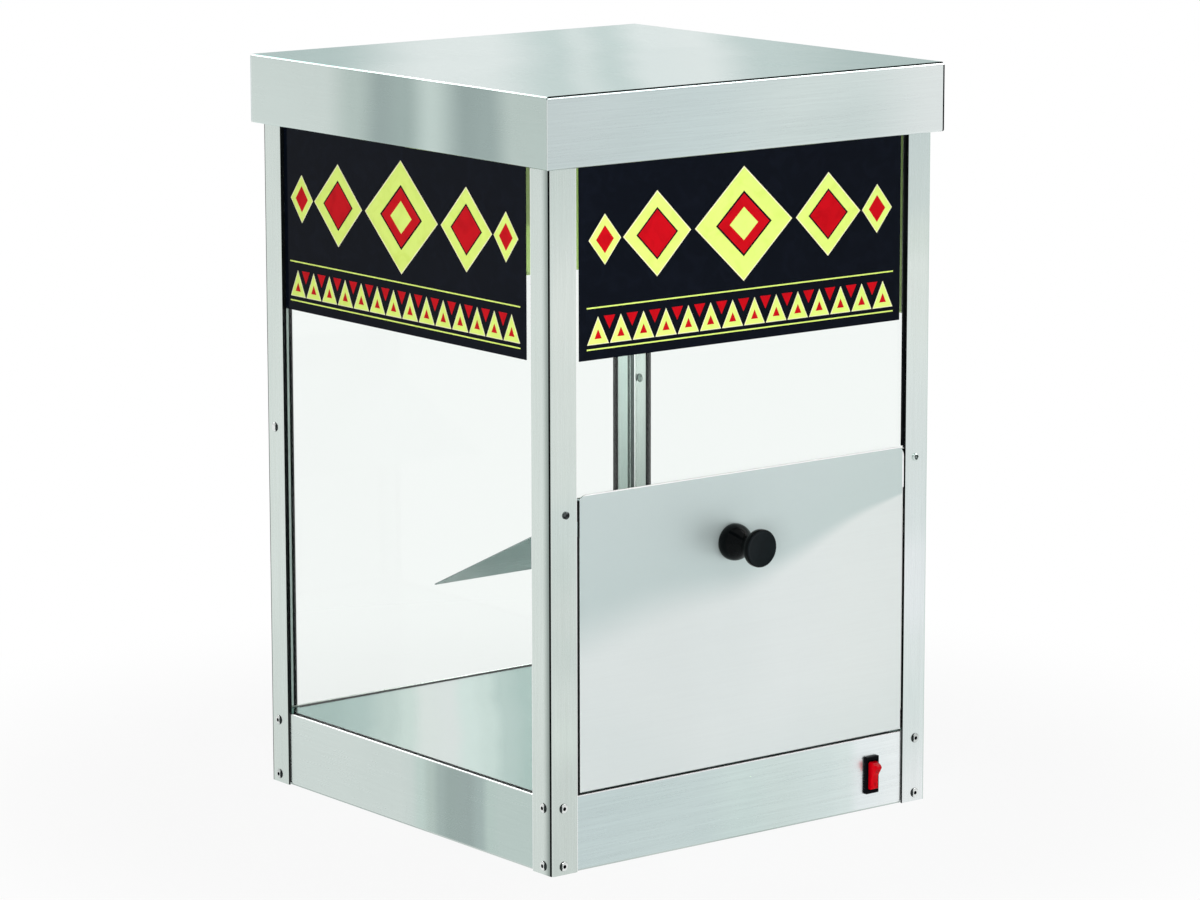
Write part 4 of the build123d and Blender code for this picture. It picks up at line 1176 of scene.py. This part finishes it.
def inkedShape(name, outline, rings):
    # a flat shape set in step by step, each step in its own ink, then given thickness
    piece = flatShape(name, outline)
    wear(piece, "signCream", "signLime", "signRed", "signBlack")
    openMesh(piece)
    for width, ink in rings:
        if width:
            bpy.ops.mesh.inset(thickness=width, use_even_offset=True)
        piece.active_material_index = inks.index(ink)
        bpy.ops.object.material_slot_assign()
    bpy.ops.object.mode_set(mode="OBJECT")
    if piece.data.polygons[0].normal.y > 0:
        piece.data.flip_normals()
    solid = piece.modifiers.new("ink", "SOLIDIFY")
    solid.thickness = sign["ink"]
    solid.offset = 1.0
    pickOnly(piece)
    bpy.ops.object.modifier_apply(modifier=solid.name)
    return piece


def makeSignFace():
    # the printed design in the sign's own plane: x across, z up from its lower edge
    shapes = []
    row = sign["rowHeight"]
    for index, (away, wide, tall) in enumerate(sign["lozenges"]):
        rings = (sign["largeRings"], sign["smallRings"], sign["endRings"])[index]
        for side in ((-1, 1) if away else (1,)):
            x = side * away
            outline = [(x - wide, row), (x, row - tall), (x + wide, row), (x, row + tall)]
            shapes.append(inkedShape("lozenge", outline, rings))
    teeth, flecks = sign["teeth"], sign["flecks"]
    foot, top = teeth["foot"], teeth["foot"] + teeth["height"]
    half, fleckHalf = teeth["width"] / 2, flecks["width"] / 2
    for index in range(teeth["count"]):
        x = (index - (teeth["count"] - 1) / 2) * teeth["pitch"]
        shapes.append(inkedShape("tooth", [(x - half, foot), (x + half, foot), (x, top)], sign["toothRings"]))
        if index:
            x -= teeth["pitch"] / 2
            outline = [(x - fleckHalf, top), (x, top - flecks["drop"]), (x + fleckHalf, top)]
            shapes.append(inkedShape("fleck", outline, [(0, "red")]))
    line = sign["line"]
    for low in line["at"]:
        high, reach = low + line["height"], line["half"]
        outline = [(-reach, low), (reach, low), (reach, high), (-reach, high)]
        shapes.append(inkedShape("line", outline, [(0, "lime")]))
    return joined(shapes, "signFace")


def makeSigns():
    face = makeSignFace()
    low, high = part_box("front_sign")
    depth = high.y - low.y - sign["ink"]
    for side, angle in sides.items():
        slide = Matrix.Translation((alongSide(*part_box(f"{side}_sign"), side), 0, 0))
        turn = Matrix.Rotation(math.radians(angle), 4, "Z") @ slide
        outline = [(low.x, low.z), (high.x, low.z), (high.x, high.z), (low.x, high.z)]
        board = plate(f"{side}_sign_board", outline, depth)
        bevelled(board, sign["boardEdge"], 2)
        wear(board, "signBlack", "signBack")
        paintFaces(board, 1, lambda at, normal: normal.y > sign["backFacing"])
        place(board, turn @ Matrix.Translation((0, high.y, 0)))
        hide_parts(f"{side}_sign")
        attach(board, "cabinet")
        ink = copied(face, f"{side}_sign_print")
        place(ink, turn @ Matrix.Translation((0, low.y + sign["ink"], low.z)))
        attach(ink, "cabinet")
    bpy.data.objects.remove(face)


# thin black rubber strips along the heated floor, at the foot of the left, rear and right panes
bead = {
    "bottom": 0.0604,
    "top": {"left": 0.0624, "rear": 0.0618, "right": 0.0618},
    "deep": 0.0016,
    "half": 0.1705,
    "edge": 0.0004,
}


def makeStrip(name, size, edge, spot):
    # straight rubber strip with softened edges, put in its place on the cabinet
    piece = softBar(name, size, edge)
    smoothByAngle(piece)
    place(piece, spot)
    wear(piece, "rubber")
    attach(piece, "cabinet")


def makeBeads():
    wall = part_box("left_glass")[1].x
    for side, top in bead["top"].items():
        size = (2 * bead["half"], bead["deep"], top - bead["bottom"])
        turn = Matrix.Rotation(math.radians(sides[side]), 4, "Z")
        height = (bead["bottom"] + top) / 2
        spot = turn @ Matrix.Translation((0, wall + bead["deep"] / 2, height))
        makeStrip(f"{side}_floor_rubber_strip", size, bead["edge"], spot)


# black rubber bar down the right edge of the front pane
edgeBar = {
    "flange": 0.1706,
    "wide": 0.0023,
    "deep": 0.0014,
    "sink": 0.00005,
    "lap": 0.0003,
    "under": 0.303,
    "over": 0.561,
    "edge": 0.0004,
}


def makeEdgeBar():
    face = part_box("front_glass")[0].y
    tall = edgeBar["over"] - edgeBar["under"]
    x = edgeBar["flange"] + edgeBar["lap"] - edgeBar["wide"] / 2
    y = face + edgeBar["sink"] - edgeBar["deep"] / 2
    spot = Matrix.Translation((x, y, edgeBar["under"] + tall / 2))
    makeStrip("front_black_edge_bar", (edgeBar["wide"], edgeBar["deep"], tall), edgeBar["edge"], spot)


# welds that close the hood's upright corners
weld = {
    "bottom": 0.5614,
    "top": 0.6158,
    "thick": 0.0009,
    "sink": 0.0002,
    "bandSheet": 0.001,
    "segments": 16,
}


def makeWelds():
    # a ground bead in each gap between the lid's folded side and the end of the front or rear band
    low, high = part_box("hood_top")
    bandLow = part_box("hood_front_band")[0]
    deep = low.y - bandLow.y - weld["bandSheet"] + 2 * weld["sink"]
    height = weld["top"] - weld["bottom"]
    beads = []
    for side, end in ((-1, -1), (1, -1), (1, 1), (-1, 1)):
        nothingSelected()
        bpy.ops.mesh.primitive_cylinder_add(vertices=weld["segments"], radius=0.5, depth=1.0)
        piece = bpy.context.object
        openMesh(piece)
        bpy.ops.transform.resize(value=(2 * weld["thick"], deep, height))
        bpy.ops.object.mode_set(mode="OBJECT")
        x = side * (high.x - weld["thick"])
        y = end * (high.y + deep / 2 - weld["sink"])
        beads.append(place(piece, Matrix.Translation((x, y, weld["bottom"] + height / 2))))
    group = joined(beads, "hood_corner_welds")
    smoothByAngle(group)
    wear(group, "weld")
    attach(group, "hood")


makeCamera()
makeBeads()
makeEdgeBar()
makeWelds()
makeRivets("base_rivets", "domed_base_rivets", rivet["tail"] + rivet["head"] + rivet["hole"])
makeRivets("rear_post_rivets", "domed_rear_rivets", rearStations())
makeKnob()
makeRocker()
makeSigns()
print("detailed pieces made")


# studio
studio = {
    "floorSize": 14.0,
    "floorDrop": 0.0002,
    "floorColour": (0.86, 0.86, 0.86, 1.0),
    "floorDull": 0.9,
    "floorWhite": 0.9,        # share of plain white in the floor round the piece, 1 farther out
    "floorWhiteFrom": 0.35,
    "floorWhiteTo": 0.75,
    "roomLight": 0.16,        # strength of the white room on dull surfaces
    "roomMirrored": 0.8,      # and as mirrors show it
    "lampsAim": (0, 0, 0.3),
}
lamps = {
    "overheadSoftbox": {"size": (2.6, 2.6), "at": (0.2, 0.1, 2.7), "power": 20.0},
    "sideSoftbox": {"size": (0.9, 0.9), "at": (-0.4, -2.6, 2.0), "power": 5.0},
    "lowSoftbox": {"size": (1.4, 0.9), "at": (-2.0, -2.4, 0.5), "power": 82.0, "mirrored": False},
    "insideFill": {"size": (0.1, 0.16), "at": (-0.02, -0.02, 0.36), "power": 0.52, "mirrored": False,
                   "towards": (0.19, 0.19, 0.36)},
}
# boards round the set that only mirrors see: place, size, turn about X, Y and Z in degrees, and how bright
flags = {
    "overhead": {"at": (0, 0, 2.8), "size": (3.4, 3.4), "turn": (0, 0, 0), "level": 0.1},
    "rearLeft": {"at": (-0.55, 2.3, 1.9), "size": (1.7, 1.5), "turn": (-55, 0, 0), "level": 4.0},
    "right": {"at": (1.85, -0.55, 2.4), "size": (1.5, 1.8), "turn": (0, 40, 0), "level": 4.0},
    "highlight": {"at": (0.1, -2.1, 1.9), "size": (0.1, 0.1), "turn": (50, 0, 0), "level": 100.0},
}


def mirrorsAndCamera(tree):
    # 1 for rays that the camera, a mirror or a pane of glass sends out
    path = tree.nodes.new("ShaderNodeLightPath").outputs
    seen = larger(tree, path["Is Camera Ray"], path["Is Glossy Ray"])
    return larger(tree, seen, path["Is Transmission Ray"])


def makeWorld():
    world = bpy.data.worlds.new("studioRoom")
    bpy.context.scene.world = world
    world.use_nodes = True
    tree = world.node_tree
    tree.nodes.clear()
    depth = tree.nodes.new("ShaderNodeLightPath").outputs["Glossy Depth"]
    mirrored = rangeNode(tree, depth, 0.0, 1.0, 1.0, studio["roomMirrored"])
    seen = times(tree, mirrorsAndCamera(tree), mirrored)
    room = tree.nodes.new("ShaderNodeBackground")
    feedAll(tree, room, {"Color": (1.0, 1.0, 1.0, 1.0), "Strength": larger(tree, seen, studio["roomLight"])})
    output = tree.nodes.new("ShaderNodeOutputWorld")
    tree.links.new(room.outputs["Background"], output.inputs["Surface"])


def makeFloor():
    nothingSelected()
    bpy.ops.mesh.primitive_plane_add(size=studio["floorSize"], location=(0, 0, -studio["floorDrop"]))
    floor = bpy.context.object
    floor.name = "studioFloor"
    material, tree, shader, coordinates = newMaterial("paperSweep")
    feedAll(tree, shader, {
        "Base Color": studio["floorColour"],
        "Roughness": studio["floorDull"],
        "Specular IOR Level": 0.0,
    })
    radius = vectorNode(tree, "LENGTH", coordinates)["Value"]
    white = rangeNode(tree, radius, studio["floorWhiteFrom"], studio["floorWhiteTo"], studio["floorWhite"],
                      1.0, smooth=True)
    glow = tree.nodes.new("ShaderNodeEmission")
    mixedSurface(tree, times(tree, mirrorsAndCamera(tree), white), shader, glow)
    floor.data.materials.append(material)


def makeFlags():
    for name, flag in flags.items():
        nothingSelected()
        bpy.ops.mesh.primitive_plane_add(size=1.0, location=flag["at"])
        board = bpy.context.object
        board.name = "flag_" + name
        board.scale = (*flag["size"], 1)
        board.rotation_euler = [math.radians(angle) for angle in flag["turn"]]
        material = bpy.data.materials.new(board.name)
        material.use_nodes = True
        tree = material.node_tree
        tree.nodes.clear()
        glow = tree.nodes.new("ShaderNodeEmission")
        glow.inputs["Strength"].default_value = flag["level"]
        output = tree.nodes.new("ShaderNodeOutputMaterial")
        tree.links.new(glow.outputs["Emission"], output.inputs["Surface"])
        board.data.materials.append(material)
        board.visible_camera = False
        board.visible_diffuse = False
        board.visible_transmission = False
        board.visible_shadow = False


def makeLamp(name, lamp):
    light = bpy.data.lights.new(name, "AREA")
    light.shape = "RECTANGLE"
    light.size, light.size_y = lamp["size"]
    light.energy = lamp["power"]
    stand = bpy.data.objects.new(name, light)
    bpy.context.scene.collection.objects.link(stand)
    stand.location = lamp["at"]
    stand.visible_camera = False
    stand.visible_transmission = False
    stand.visible_glossy = lamp.get("mirrored", True)
    towards = Vector(lamp.get("towards", studio["lampsAim"])) - Vector(lamp["at"])
    stand.rotation_mode = "QUATERNION"
    stand.rotation_quaternion = towards.to_track_quat("-Z", "Y")


makeWorld()
makeFloor()
makeFlags()
for lampName, lamp in lamps.items():
    makeLamp(lampName, lamp)
bpy.context.scene.view_settings.view_transform = "Standard"
print("studio made")
